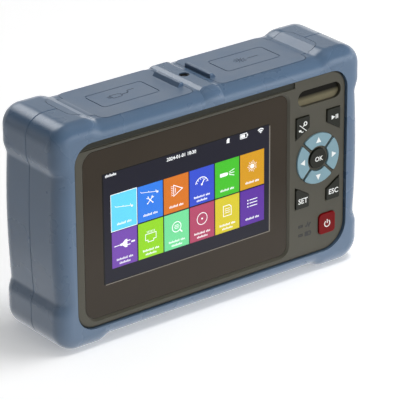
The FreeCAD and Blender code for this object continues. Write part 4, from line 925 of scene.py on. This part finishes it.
class REFLECTOMETER_OT_case(bpy.types.Operator):
    """Finish the two shells, the tilt stand, the battery cover and the screws"""

    bl_idname = "reflectometer.case"
    bl_label = "Case"

    FRONT_EDGE = 6.9
    REAR_EDGE = 7.6
    RIB_HALF = 3.2
    RIB_FOOT = 5.4
    RIB_RISE = 0.9
    RIB_SINK = 0.3
    RIB_TURN = 84
    RIB_FADE = 46
    RIB_STEPS = 14

    def execute(self, context):
        case = context.scene.reflectometer_case
        shared = {"grain_size": case.grain_size / MM, "grain_depth": case.grain_depth / MM,
                  "wear": case.edge_wear, "dust": case.dust}
        satin = moulding("body_satin", case.body_colour, 0.28, coat=0.15, **shared)
        dress(satin, "front_shell", "rear_shell")
        self.rib_end("rib_front_end", -1, self.FRONT_EDGE, satin)
        self.rib_end("rib_rear_end", 1, self.REAR_EDGE, satin)
        dress(moulding("cover_satin", case.cover_colour, 0.44, **shared), "battery_cover")
        dress(moulding("stand_satin", case.stand_colour, 0.46, **shared), "tilt_stand")
        dress(brushed_metal("blackened_steel", case.screw_colour, 0.4, (1.0, 1.0, 0.1)),
              "case_screws", "cover_screws")
        dress(brushed_metal("drawn_steel", paint(196, 197, 198), 0.28, (0.1, 1.0, 1.0)),
              "stand_pin")
        return {"FINISHED"}

    def rib_end(self, name, side, edge_radius, material):
        """The end of the middle rib, which runs over the case's rounded edge and dies out."""
        centre_y = side * (high_corner("rear_shell").y - edge_radius)
        centre_z = LID_TOP - edge_radius
        rings = []
        for step in range(self.RIB_STEPS + 1):
            left = self.RIB_TURN * (1 - step / self.RIB_STEPS)
            angle = math.radians(self.RIB_TURN - left)
            rise = self.RIB_RISE * min(1.0, left / self.RIB_FADE)
            ring = []
            for x, out in ((-self.RIB_FOOT, -self.RIB_SINK), (self.RIB_FOOT, -self.RIB_SINK),
                           (self.RIB_FOOT, 0.0), (self.RIB_HALF, rise), (-self.RIB_HALF, rise),
                           (-self.RIB_FOOT, 0.0)):
                radius = edge_radius + out
                ring.append(Vector((x, centre_y + side * radius * math.sin(angle),
                                    centre_z + radius * math.cos(angle))) * MM)
            rings.append(ring)
        swept_piece(name, rings, "housing", material)


class REFLECTOMETER_OT_flaps(bpy.types.Operator):
    """Finish the rubber flaps and their tongues, and lay the pictograms in their frames"""

    bl_idname = "reflectometer.flaps"
    bl_label = "Flaps"

    FRAME_CENTRE = 35.05
    HINGE = 61.0
    SKIN_START = HINGE - 1.2
    SKIN_END = HINGE + 1.5
    SKIN_HALF = 12.0
    SKIN_SINK = 0.1
    SKIN_EDGE = 0.03
    SKIN_CROWN = 0.09
    SKIN_STEPS = 12
    BEND_START = HINGE - 0.5
    BEND_END = HINGE + 1.1

    def execute(self, context):
        flaps = context.scene.reflectometer_flaps
        rubber = moulding("flap_satin", flaps.rubber_colour, 0.32, grain_size=0.3,
                          grain_depth=0.015, wear=0.12, dust=0.16, cloud=0.03)
        dress(rubber, "left_flap", "right_flap", "left_flap_tongue", "right_flap_tongue")
        # painted shade: thin raised lines in a darker colour stand for the shaded grooves of the
        # moulded pictograms
        painted_mark_shade = moulding("mark_shade", flaps.groove_shade_colour, 0.6, grain_size=0.2, dust=0.08)
        height = flaps.mark_height / MM
        for name, side, draw in (("left_flap", -1, draw_cable),
                                 ("right_flap", 1, draw_ray_and_burst)):
            drawing = Drawing(top_plane, LID_TOP - height, 2 * height)
            draw(Pen(drawing, flaps.groove_shade_colour, side * self.FRAME_CENTRE, 0.0),
                 flaps.mark_width / MM)
            drawing.finish(name + "_mark", name, "flap_rubber", painted_mark_shade)
            self.skin(name, side, rubber)
        return {"FINISHED"}

    def skin(self, flap, side, material):
        """The thin rubber that joins a lid to its tongue and rolls up over the hinge."""
        rings = []
        for step in range(self.SKIN_STEPS + 1):
            share = step / self.SKIN_STEPS
            x = self.SKIN_START + (self.SKIN_END - self.SKIN_START) * share
            rise = self.SKIN_EDGE + self.SKIN_CROWN * math.sin(math.pi * share)
            section = rectangle(-self.SKIN_HALF, -self.SKIN_SINK, self.SKIN_HALF, rise)
            rings.append([Vector((side * x, y, LID_TOP + z)) * MM for y, z in section])
        piece = swept_piece(flap + "_skin", rings, None, material)
        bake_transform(piece)


class REFLECTOMETER_OT_bezel(bpy.types.Operator):
    """Finish the bezel, the bare plate, the cover glass and the indicators"""

    bl_idname = "reflectometer.bezel"
    bl_label = "Bezel"

    WEB_DROP = 3.0
    WEB_THICKNESS = 2.9
    HUB_OUTER = 6.05
    HUB_INNER = 5.3
    SPOKE_START = 5.9
    SPOKE_END = 12.95
    SPOKE_WIDTH = 0.95
    BROW_DROP = 0.62
    BROW_MARGIN = 0.3
    BROW_HEIGHT = 3.0
    BROW_RADIUS = 9.3
    BROW_PAST_GLASS = 3.7
    LAMP_HEIGHT = 1.3
    PRINT_SHIFT = 4.5

    def execute(self, context):
        bezel = context.scene.reflectometer_bezel
        self.face = -low_corner("front_bezel").y
        satin = moulding("bezel_satin", bezel.panel_colour, 0.46, grain_size=0.35,
                         grain_depth=0.012, wear=0.15, dust=0.03, specular=0.35)
        dress(satin, "front_bezel")
        self.web(bezel.panel_colour, satin)
        self.brow_shadow(bezel.brow_shadow_colour)
        dress(plate_with_painted_shadow("badge_lacquer", bezel.badge_colour, "badge_plate"), "badge_plate")
        dress(printed_glass("cover_glass", bezel.glass_colour), "touch_glass")
        dress(moulding("indicator_smoke", bezel.lamp_colour, 0.16, grain_size=0.6,
                       grain_depth=0.0, specular=0.3), "indicator_lenses")
        self.pictograms(bezel.print_colour)
        return {"FINISHED"}

    def web(self, colour, material):
        """The panel's thin web between the ring keys."""
        hub = middle("enter_key")
        drawing = Drawing(front_plane, self.face - self.WEB_DROP, self.WEB_THICKNESS)
        drawing.plate(colour, circle(hub.x, hub.z, self.HUB_OUTER, 40),
                      circle(hub.x, hub.z, self.HUB_INNER, 40))
        for angle in (45, 135, 225, 315):
            Pen(drawing, colour, hub.x, hub.z).ray(self.SPOKE_WIDTH, angle, self.SPOKE_START,
                                                   self.SPOKE_END)
        drawing.finish("key_web", "housing", "bezel_grey", material)

    def brow_shadow(self, colour):
        """A thin dark sheet on the floor of the sunk strip between the case and the glass: a
        painted shadow under the case's overhanging edge.
        """
        top = high_corner("front_bezel").z - self.BROW_MARGIN
        left = low_corner("front_bezel").x + self.BROW_MARGIN
        right = high_corner("touch_glass").x + self.BROW_PAST_GLASS
        drawing = Drawing(front_plane, self.face - self.BROW_DROP, 0.04)
        drawing.plate(colour, [(right, top - self.BROW_HEIGHT), (right, top)]
                      + arc(left + self.BROW_RADIUS, top - self.BROW_RADIUS, self.BROW_RADIUS,
                            90, 136, 10))
        # painted shadow under the case's edge, laid as a dark sheet
        shade = moulding("brow_shade", colour, 0.6, grain_size=0.35, specular=0.2)
        drawing.finish("brow_floor", "housing", "bezel_grey", shade)

    def pictograms(self, ink):
        """A battery and a pulse, printed beside the two indicators."""
        across = middle("indicator_lenses").x + self.PRINT_SHIFT
        drawing = Drawing(front_plane, self.face - 0.02, 0.045)
        pulse = Pen(drawing, ink, across, high_corner("indicator_lenses").z - self.LAMP_HEIGHT / 2)
        pulse.line(0.75, [(-1.8, -0.6), (-0.7, -0.6), (-0.2, 1.0), (0.5, -1.0), (1.0, 0.5),
                          (1.8, 0.5)])
        cell = Pen(drawing, ink, across, low_corner("indicator_lenses").z + self.LAMP_HEIGHT / 2)
        cell.line(0.6, rectangle(-1.7, -0.9, 1.4, 0.9), closed=True)
        cell.plate(rectangle(1.65, -0.45, 2.1, 0.45))
        cell.plate(rectangle(-1.45, -0.7, 0.3, 0.7))
        drawing.finish("indicator_pictograms", "housing", "bezel_grey",
                       moulding("print_ink", ink, 0.5, grain_size=0.2, grain_depth=0.004))


class REFLECTOMETER_OT_screen(bpy.types.Operator):
    """Lay the lit menu picture on the display"""

    bl_idname = "reflectometer.screen"
    bl_label = "Screen"

    # How far each layer's left, lower, right and upper edges lie from those of the lit area
    LAYERS = (("light_colour", 0.6, -0.55, 0.75, -0.6),
              ("shade_colour", -0.45, -0.1, 0.1, 0.45),
              ("back_colour", 0.35, 0.3, 0.0, 0.0))
    COLUMNS = 6
    OUTLINE = 0.3
    INK_RISE = 0.01
    STATUS_DROP = 1.7
    CAPTION_START = 4.4
    TIME_FROM_RIGHT = 51.0
    CARD_FROM_RIGHT = 24.2
    CELL_FROM_RIGHT = 14.9
    SIGNAL_FROM_RIGHT = 5.0

    def execute(self, context):
        screen = context.scene.reflectometer_screen
        if not screen.tiles:
            for card, glyph, captions in TILES:
                tile = screen.tiles.add()
                tile.colour = paint(*card)
                tile.glyph = glyph
                tile.captions = captions
        panel = middle("display_panel")
        half_width, half_height = screen.width / MM / 2, screen.height / MM / 2
        left, right = panel.x - half_width, panel.x + half_width
        low, high = panel.z - half_height, panel.z + half_height
        drawing = Drawing(front_plane, -low_corner("touch_glass").y - 0.01, 0.02)
        for colour, *moves in self.LAYERS:
            edges = [edge + move for edge, move in zip((left, low, right, high), moves)]
            drawing.plate(getattr(screen, colour), rectangle(*edges))
        self.tiles(drawing, screen, left, high)
        self.status(Pen(drawing, screen.ink_colour, right, high), screen.width / MM)
        drawing.finish("menu_picture", "housing", "display_black",
                       lit_display("lit_display", screen.glow))
        return {"FINISHED"}

    def tiles(self, drawing, screen, left, high):
        """Two rows of tiles, each with its glyph and captions. The first one is outlined."""
        wide, tall, gap = (screen.tile_width / MM, screen.tile_height / MM, screen.tile_gap / MM)
        ink, rim = screen.ink_colour, self.OUTLINE
        for i, tile in enumerate(screen.tiles):
            row, column = divmod(i, self.COLUMNS)
            u = left + screen.tile_left / MM + column * (wide + gap)
            v = high - screen.tile_top / MM - row * (tall + gap)
            if i == 0:
                drawing.plate(ink, rectangle(u - rim, v - tall - rim, u + wide + rim, v + rim))
            drawing.plate(tile.colour, rectangle(u, v - tall, u + wide, v))
            drawing.thickness += self.INK_RISE
            pen = Pen(drawing, ink, u + wide / 2, v)
            GLYPHS[tile.glyph](pen.moved(0, -tall * 0.4))
            if tile.captions == 1:
                draw_caption(pen.moved(0, -tall * 0.87), 8.6, 1.2)
            elif tile.captions == 2:
                draw_caption(pen.moved(0, -tall * 0.82), 9.6, 1.1)
                draw_caption(pen.moved(0, -tall * 0.93), 6.2, 1.1)
            drawing.thickness -= self.INK_RISE

    def status(self, corner, width):
        """The status line, placed from the picture's upper right corner."""
        line = corner.moved(0, -self.STATUS_DROP)
        draw_caption(line.moved(self.CAPTION_START - width, 0.2), 6.4, 1.3)
        line.moved(-self.TIME_FROM_RIGHT, -0.2).words("2024-01-01 10:30", 2.35, 0.04)
        card = line.moved(-self.CARD_FROM_RIGHT, 0)
        card.plate([(-0.8, -1.1), (0.8, -1.1), (0.8, 1.1), (-0.1, 1.1), (-0.8, 0.4)])
        cell = line.moved(-self.CELL_FROM_RIGHT, 0)
        cell.line(0.3, rounded(-2.1, -1.1, 1.8, 1.1, 0.3), closed=True)
        cell.plate(rectangle(-1.7, -0.7, 0.6, 0.7))
        cell.plate(rectangle(2.05, -0.45, 2.4, 0.45))
        signal = line.moved(-self.SIGNAL_FROM_RIGHT, -1.2)
        signal.plate([(0, 0)] + arc(0, 0, 0.9, 45, 135, 6))
        for radius in (1.4, 2.3):
            signal.line(0.5, arc(0, 0, radius, 45, 135, 10))


class REFLECTOMETER_OT_keys(bpy.types.Operator):
    """Finish the silicone keys and print their legends"""

    bl_idname = "reflectometer.keys"
    bl_label = "Keys"

    # Each legend's place is across and up from its key's middle. An arrow points out from the
    # middle of the ring, turned by its angle in degrees
    LETTERS = (("enter_key", "OK", 0.76, 0.3, -0.2), ("set_key", "SET", 0.88, 0.1, -1.9),
               ("escape_key", "ESC", 0.86, 0.2, -1.7))
    PICTURES = (("tool_key", draw_lens_and_fibre, 0.0, 0.8), ("run_key", draw_run, 0.6, 1.4),
                ("power_key", draw_power, 0.0, 0.0))
    ARROWS = (("up_key", 90), ("right_key", 0), ("down_key", 270), ("left_key", 180))
    ARROW = ((10.9, 0.0), (8.2, 1.5), (8.2, -1.5))
    EM_TO_CAPITAL = 1.36
    LETTER_WEIGHT = 0.06

    def execute(self, context):
        keys = context.scene.reflectometer_keys
        silicone = {"grain_size": 0.25, "grain_depth": 0.01}
        rubbed = {"wear": 0.1, "dust": 0.03, "specular": 0.25, **silicone}
        dress(moulding("key_charcoal", keys.dark_colour, 0.42, **rubbed),
              "tool_key", "run_key", "set_key", "escape_key", "enter_key")
        dress(moulding("key_sky", keys.light_colour, 0.46, **rubbed),
              "up_key", "right_key", "down_key", "left_key")
        dress(moulding("key_scarlet", keys.red_colour, 0.36, specular=0.12, **silicone),
              "power_key")
        self.ink = keys.legend_colour
        self.thickness = keys.print_thickness / MM
        self.material = moulding("legend_ink", self.ink, 0.5, grain_size=0.2, grain_depth=0.003)
        size = keys.legend_height / MM * self.EM_TO_CAPITAL
        for key, text, share, across, up in self.LETTERS:
            pen = self.pen(key, middle(key), across, up)
            pen.words(text, size * share, self.LETTER_WEIGHT)
            self.done(pen, key)
        for key, draw, across, up in self.PICTURES:
            pen = self.pen(key, middle(key), across, up)
            draw(pen)
            self.done(pen, key)
        for key, angle in self.ARROWS:
            pen = self.pen(key, middle("enter_key"))
            turn = Matrix.Rotation(math.radians(angle), 2)
            pen.plate([tuple(turn @ Vector(point)) for point in self.ARROW])
            self.done(pen, key)
        return {"FINISHED"}

    def pen(self, key, centre, across=0.0, up=0.0):
        """A pen for the top of a key, at a point near a centre."""
        drawing = Drawing(front_plane, -low_corner(key).y - self.thickness, 2 * self.thickness)
        return Pen(drawing, self.ink, centre.x + across, centre.z + up)

    def done(self, pen, key):
        pen.drawing.finish(key + "_legend", key, "key_light", self.material)


class REFLECTOMETER_OT_sockets(bpy.types.Operator):
    """Finish the socket trays and sockets, and fit the contacts, sleeves and torch glass"""

    bl_idname = "reflectometer.sockets"
    bl_label = "Sockets"

    JACKS = ("network_jack_near", "network_jack_far")
    PORTS = ("reflectometer_port", "power_meter_port", "fault_locator_port")
    CONTACTS = 8
    CONTACT_THICKNESS = 0.3
    SLEEVE_BORE = 1.3
    SLEEVE_RADIUS = 2.12
    SLEEVE_DEPTH = 3.0
    DOME_RADIUS = 1.85
    DOME_HEIGHT = 0.85
    COLLAR_BORE = 1.9
    COLLAR_RADIUS = 2.44

    def execute(self, context):
        sockets = context.scene.reflectometer_sockets
        dress(moulding("tray_satin", sockets.tray_colour, 0.5, wear=0.1, dust=0.12),
              "data_socket_tray", "optic_socket_tray")
        dress(moulding("socket_satin", sockets.body_colour, 0.42, wear=0.15, dust=0.08),
              *self.JACKS)
        dress(brushed_metal("nickel_plate", sockets.nickel_colour, 0.2, (1.0, 1.0, 0.2), 0.3),
              *self.PORTS)
        dress(brushed_metal("socket_shell", paint(190, 190, 192), 0.3, (1.0, 0.2, 1.0)),
              "charge_socket")
        gilded = brushed_metal("gilded_contacts", sockets.contact_colour, 0.24, (1.0, 1.0, 0.2))
        for node in self.JACKS:
            self.contacts(node, sockets, gilded)
        ceramic = moulding("ceramic_sleeve", sockets.ceramic_colour, 0.24, grain_size=0.1,
                           grain_depth=0.002, dust=0.04, coat=0.3)
        for node in self.PORTS:
            self.sleeve(node, ceramic)
        self.torch()
        return {"FINISHED"}

    def contacts(self, node, sockets, material):
        """Sprung wires that slope down into the mouth from its front wall."""
        centre, top = middle(node), high_corner(node).z
        half, pitch = sockets.contact_width / MM / 2, sockets.contact_pitch / MM
        path = [(-4.35, top - 1.6), (-3.7, top - 1.7), (-1.3, top - 8.6), (-1.7, top - 9.6),
                (-4.35, top - 10.4)]
        drawing = Drawing(side_plane, 0, 2 * half)
        for i in range(self.CONTACTS):
            drawing.low = centre.x + (i - (self.CONTACTS - 1) / 2) * pitch - half
            drawing.line(sockets.contact_colour, self.CONTACT_THICKNESS, path)
        drawing.finish(node + "_contacts", "housing", "port_nickel", material)

    def sleeve(self, node, material):
        """The split ceramic sleeve inside a port, with its chamfered mouth."""
        centre, top = middle(node), high_corner(node).z
        bore, outer = self.SLEEVE_BORE, self.SLEEVE_RADIUS
        turned_piece(node + "_sleeve",
                     [(bore, top - self.SLEEVE_DEPTH), (outer, top - self.SLEEVE_DEPTH),
                      (outer, top + 0.1), (outer - 0.14, top + 0.22), (bore + 0.2, top + 0.22),
                      (bore, top + 0.02)],
                     (centre.x, centre.y), "housing", material)

    def torch(self):
        """The dark domed lens of the torch in its collar."""
        glass = moulding("torch_dome", paint(16, 17, 20), 0.06, grain_size=1.0, grain_depth=0.0,
                         coat=1.0, gloss_change=0.01)
        collar = moulding("torch_collar", paint(24, 24, 26), 0.4, grain_size=0.2, dust=0.05)
        top = high_corner("torch_lens").z
        rim, edge = top + 0.05, self.DOME_RADIUS
        turns = [math.radians(angle) for angle in range(15, 90, 15)]
        turned_piece("torch_dome", [(0.0, top - 0.2), (edge, top - 0.2), (edge, rim)]
                     + [(edge * math.cos(turn), rim + self.DOME_HEIGHT * math.sin(turn))
                        for turn in turns]
                     + [(0.0, rim + self.DOME_HEIGHT)], (0, 0), "housing", glass)
        bore, outer = self.COLLAR_BORE, self.COLLAR_RADIUS
        turned_piece("torch_collar", [(bore, top - 0.1), (outer, top - 0.1), (outer, top + 0.95),
                                      (outer - 0.14, top + 1.1), (bore + 0.2, top + 0.95),
                                      (bore, top + 0.3)],
                     (0, 0), "housing", collar)
        dress(clear_moulding("torch_clear", (0.9, 0.92, 0.94), 0.06), "torch_lens")


class REFLECTOMETER_OT_inner_pieces(bpy.types.Operator):
    """Finish the display, the boards, the optics, the battery and the cushions inside"""

    bl_idname = "reflectometer.inner_pieces"
    bl_label = "Inner pieces"

    def execute(self, context):
        dress(moulding("display_module", paint(44, 44, 54), 0.25, grain_depth=0.0, wear=0.1,
                       coat=0.3), "display_panel")
        dress(moulding("black_foam", paint(58, 58, 58), 0.85, grain_size=0.9, grain_depth=0.12,
                       speck=0.2, dust=0.05), "display_cushion", "bezel_gasket")
        dress(brushed_metal("stamped_steel", paint(214, 215, 216), 0.3, (0.2, 1.0, 1.0)),
              "display_frame", "processor_shield")
        dress(circuit_board("green_board", paint(20, 96, 62)),
              "key_board", "main_board", "torch_board")
        dress(moulding("black_package", paint(46, 46, 48), 0.5, grain_size=0.15,
                       grain_depth=0.008, wear=0.05, dust=0.03),
              "key_switches", "board_chips", "sounder")
        dress(brushed_metal("milled_aluminium", paint(204, 206, 210), 0.34, (0.15, 1.0, 1.0)),
              "optical_module")
        dress(moulding("battery_wrap", paint(70, 78, 130), 0.3, grain_size=3.0, grain_depth=0.03,
                       coat=0.4), "battery_pack")
        return {"FINISHED"}


class REFLECTOMETER_OT_stage(bpy.types.Operator):
    """Set the floor, the soft lights and the camera"""

    bl_idname = "reflectometer.stage"
    bl_label = "Stage"

    LIGHT_TARGET = Vector((0, 0, 0.05))
    # Each lamp's name, place, power setting and size, and whether shiny faces mirror it
    LAMPS = (("key_lamp", (0.4, -0.2, 1.6), "key_power", 0.6, False),
             ("front_lamp", (0.4, -1.3, 0.2), "front_power", 0.8, False),
             ("fill_lamp", (0.5, -0.45, 0.1), "fill_power", 0.4, True))
    FLOOR_DROP = 0.0002
    SEEN_GLOW = 0.3
    MIRRORED_GLOW = 1.0
    MIRRORED_GLOW_AWAY = 0.15
    HORIZON_SHINE = 1.6
    CEILING_SHINE = 0.12
    SHINE_WAY = (0.05, 0.72, 0.69)

    def execute(self, context):
        scene = context.scene
        stage = scene.reflectometer_stage
        scene.view_settings.view_transform = "Standard"
        self.floor(scene, stage)
        self.sky(scene, stage)
        for name, place, setting, size, mirrored in self.LAMPS:
            self.lamp(scene, name, Vector(place), getattr(stage, setting), size, mirrored)
        self.camera(scene, stage)
        return {"FINISHED"}

    def floor(self, scene, stage):
        """A round floor under the part, white to the camera and shaded by the part."""
        mesh = bmesh.new()
        bmesh.ops.create_circle(mesh, cap_ends=True, segments=96, radius=stage.floor_radius)
        data = bpy.data.meshes.new("floor")
        mesh.to_mesh(data)
        mesh.free()
        floor = bpy.data.objects.new("floor", data)
        floor.location.z = -self.FLOOR_DROP
        scene.collection.objects.link(floor)
        material, wires, shader = fresh("floor_paper", {"Roughness": 0.9,
                                                        "Emission Color": (1, 1, 1, 1)})
        path = wires.add("ShaderNodeLightPath").outputs
        seen = wires.math("MAXIMUM", path["Is Camera Ray"], path["Is Transmission Ray"])
        place = wires.place()
        away = wires.add("ShaderNodeVectorMath", {0: place}, operation="LENGTH").outputs["Value"]
        mirrored = wires.times(path["Is Glossy Ray"],
                               wires.spread(away, 0.09, 0.17, self.MIRRORED_GLOW,
                                            self.MIRRORED_GLOW_AWAY))
        shade = wires.swing(wires.noise(place, 4.0), 0.985, 1.0)
        wires.feed(shader, "Base Color", wires.shaded(stage.floor_colour, shade))
        wires.feed(shader, "Emission Strength",
                   wires.math("ADD", wires.times(seen, self.SEEN_GLOW), mirrored))
        data.materials.append(material)

    def sky(self, scene, stage):
        """Even light all round, plain white where it is seen.

        A shiny face sees a pale horizon under a darker ceiling, which is darkest on the left,
        and a bright patch high up behind the part.
        """
        world = bpy.data.worlds.new("studio")
        world.use_nodes = True
        world.node_tree.nodes.clear()
        scene.world = world
        wires = Wiring(world.node_tree)
        path = wires.add("ShaderNodeLightPath").outputs
        seen = wires.math("MAXIMUM", path["Is Camera Ray"], path["Is Transmission Ray"])
        mirrored = path["Is Glossy Ray"]
        way = wires.add("ShaderNodeTexCoord").outputs["Generated"]
        part = wires.add("ShaderNodeSeparateXYZ", {0: way}).outputs
        ceiling = wires.spread(part["Z"], 0.15, 0.45, self.HORIZON_SHINE, self.CEILING_SHINE)
        side = wires.spread(part["X"], -0.6, 0.3, 0.45, 1.0)
        patch = wires.spread(wires.dot(way, self.SHINE_WAY), 0.92, 0.99, 0.0, stage.back_shine)
        shine = wires.math("ADD", wires.times(ceiling, side), patch)
        soft = wires.times(stage.sky_strength, wires.spread(part["X"], -0.7, 0.4, 0.3, 1.15))
        even = wires.math("MAXIMUM", seen,
                          wires.times(soft, wires.math("SUBTRACT", 1.0, mirrored)))
        strength = wires.math("ADD", even, wires.times(shine, mirrored))
        background = wires.add("ShaderNodeBackground", {"Color": (1, 1, 1, 1),
                                                        "Strength": strength})
        wires.add("ShaderNodeOutputWorld", {"Surface": background.outputs[0]})

    def lamp(self, scene, name, place, power, size, mirrored):
        light = bpy.data.lights.new(name, "AREA")
        light.shape = "DISK"
        light.size = size
        light.energy = power
        lamp = bpy.data.objects.new(name, light)
        lamp.location = place
        lamp.rotation_euler = (self.LIGHT_TARGET - place).to_track_quat("-Z", "Y").to_euler()
        lamp.visible_glossy = mirrored
        scene.collection.objects.link(lamp)

    def camera(self, scene, stage):
        lens = bpy.data.cameras.new("camera")
        lens.sensor_width = 36.0
        lens.lens = stage.camera_lens
        lens.clip_start = 0.05
        lens.clip_end = 50.0
        camera = bpy.data.objects.new("camera", lens)
        place, aim = Vector(stage.camera_place), Vector(stage.camera_aim)
        look = (aim - place).to_track_quat("-Z", "Y").to_matrix().to_4x4()
        camera.matrix_world = (Matrix.Translation(place) @ look
                               @ Matrix.Rotation(-stage.camera_roll, 4, "Z"))
        scene.collection.objects.link(camera)
        scene.camera = camera


OPERATORS = [
    REFLECTOMETER_OT_case, REFLECTOMETER_OT_flaps, REFLECTOMETER_OT_bezel,
    REFLECTOMETER_OT_screen, REFLECTOMETER_OT_keys, REFLECTOMETER_OT_sockets,
    REFLECTOMETER_OT_inner_pieces, REFLECTOMETER_OT_stage,
]


class REFLECTOMETER_PT_looks(bpy.types.Panel):
    """The settings and operators, in the order in which they are used"""

    bl_idname = "REFLECTOMETER_PT_looks"
    bl_label = "Reflectometer"
    bl_space_type = "VIEW_3D"
    bl_region_type = "UI"
    bl_category = "Reflectometer"

    def draw(self, context):
        for name, group in SETTINGS.items():
            box = self.layout.box()
            settings = getattr(context.scene, name)
            for setting in group.__annotations__:
                if setting != "tiles":
                    box.prop(settings, setting)
        for operator in OPERATORS:
            self.layout.operator(operator.bl_idname)


CLASSES = [TileSettings] + list(SETTINGS.values()) + OPERATORS + [REFLECTOMETER_PT_looks]


def register():
    for item in CLASSES:
        bpy.utils.register_class(item)
    for name, group in SETTINGS.items():
        setattr(bpy.types.Scene, name, PointerProperty(type=group))


def unregister():
    for name in SETTINGS:
        delattr(bpy.types.Scene, name)
    for item in reversed(CLASSES):
        bpy.utils.unregister_class(item)


def main():
    register()
    bpy.ops.reflectometer.case()
    bpy.ops.reflectometer.flaps()
    bpy.ops.reflectometer.bezel()
    bpy.ops.reflectometer.screen()
    bpy.ops.reflectometer.keys()
    bpy.ops.reflectometer.sockets()
    bpy.ops.reflectometer.inner_pieces()
    bpy.ops.reflectometer.stage()


if __name__ == "__main__":
    main()
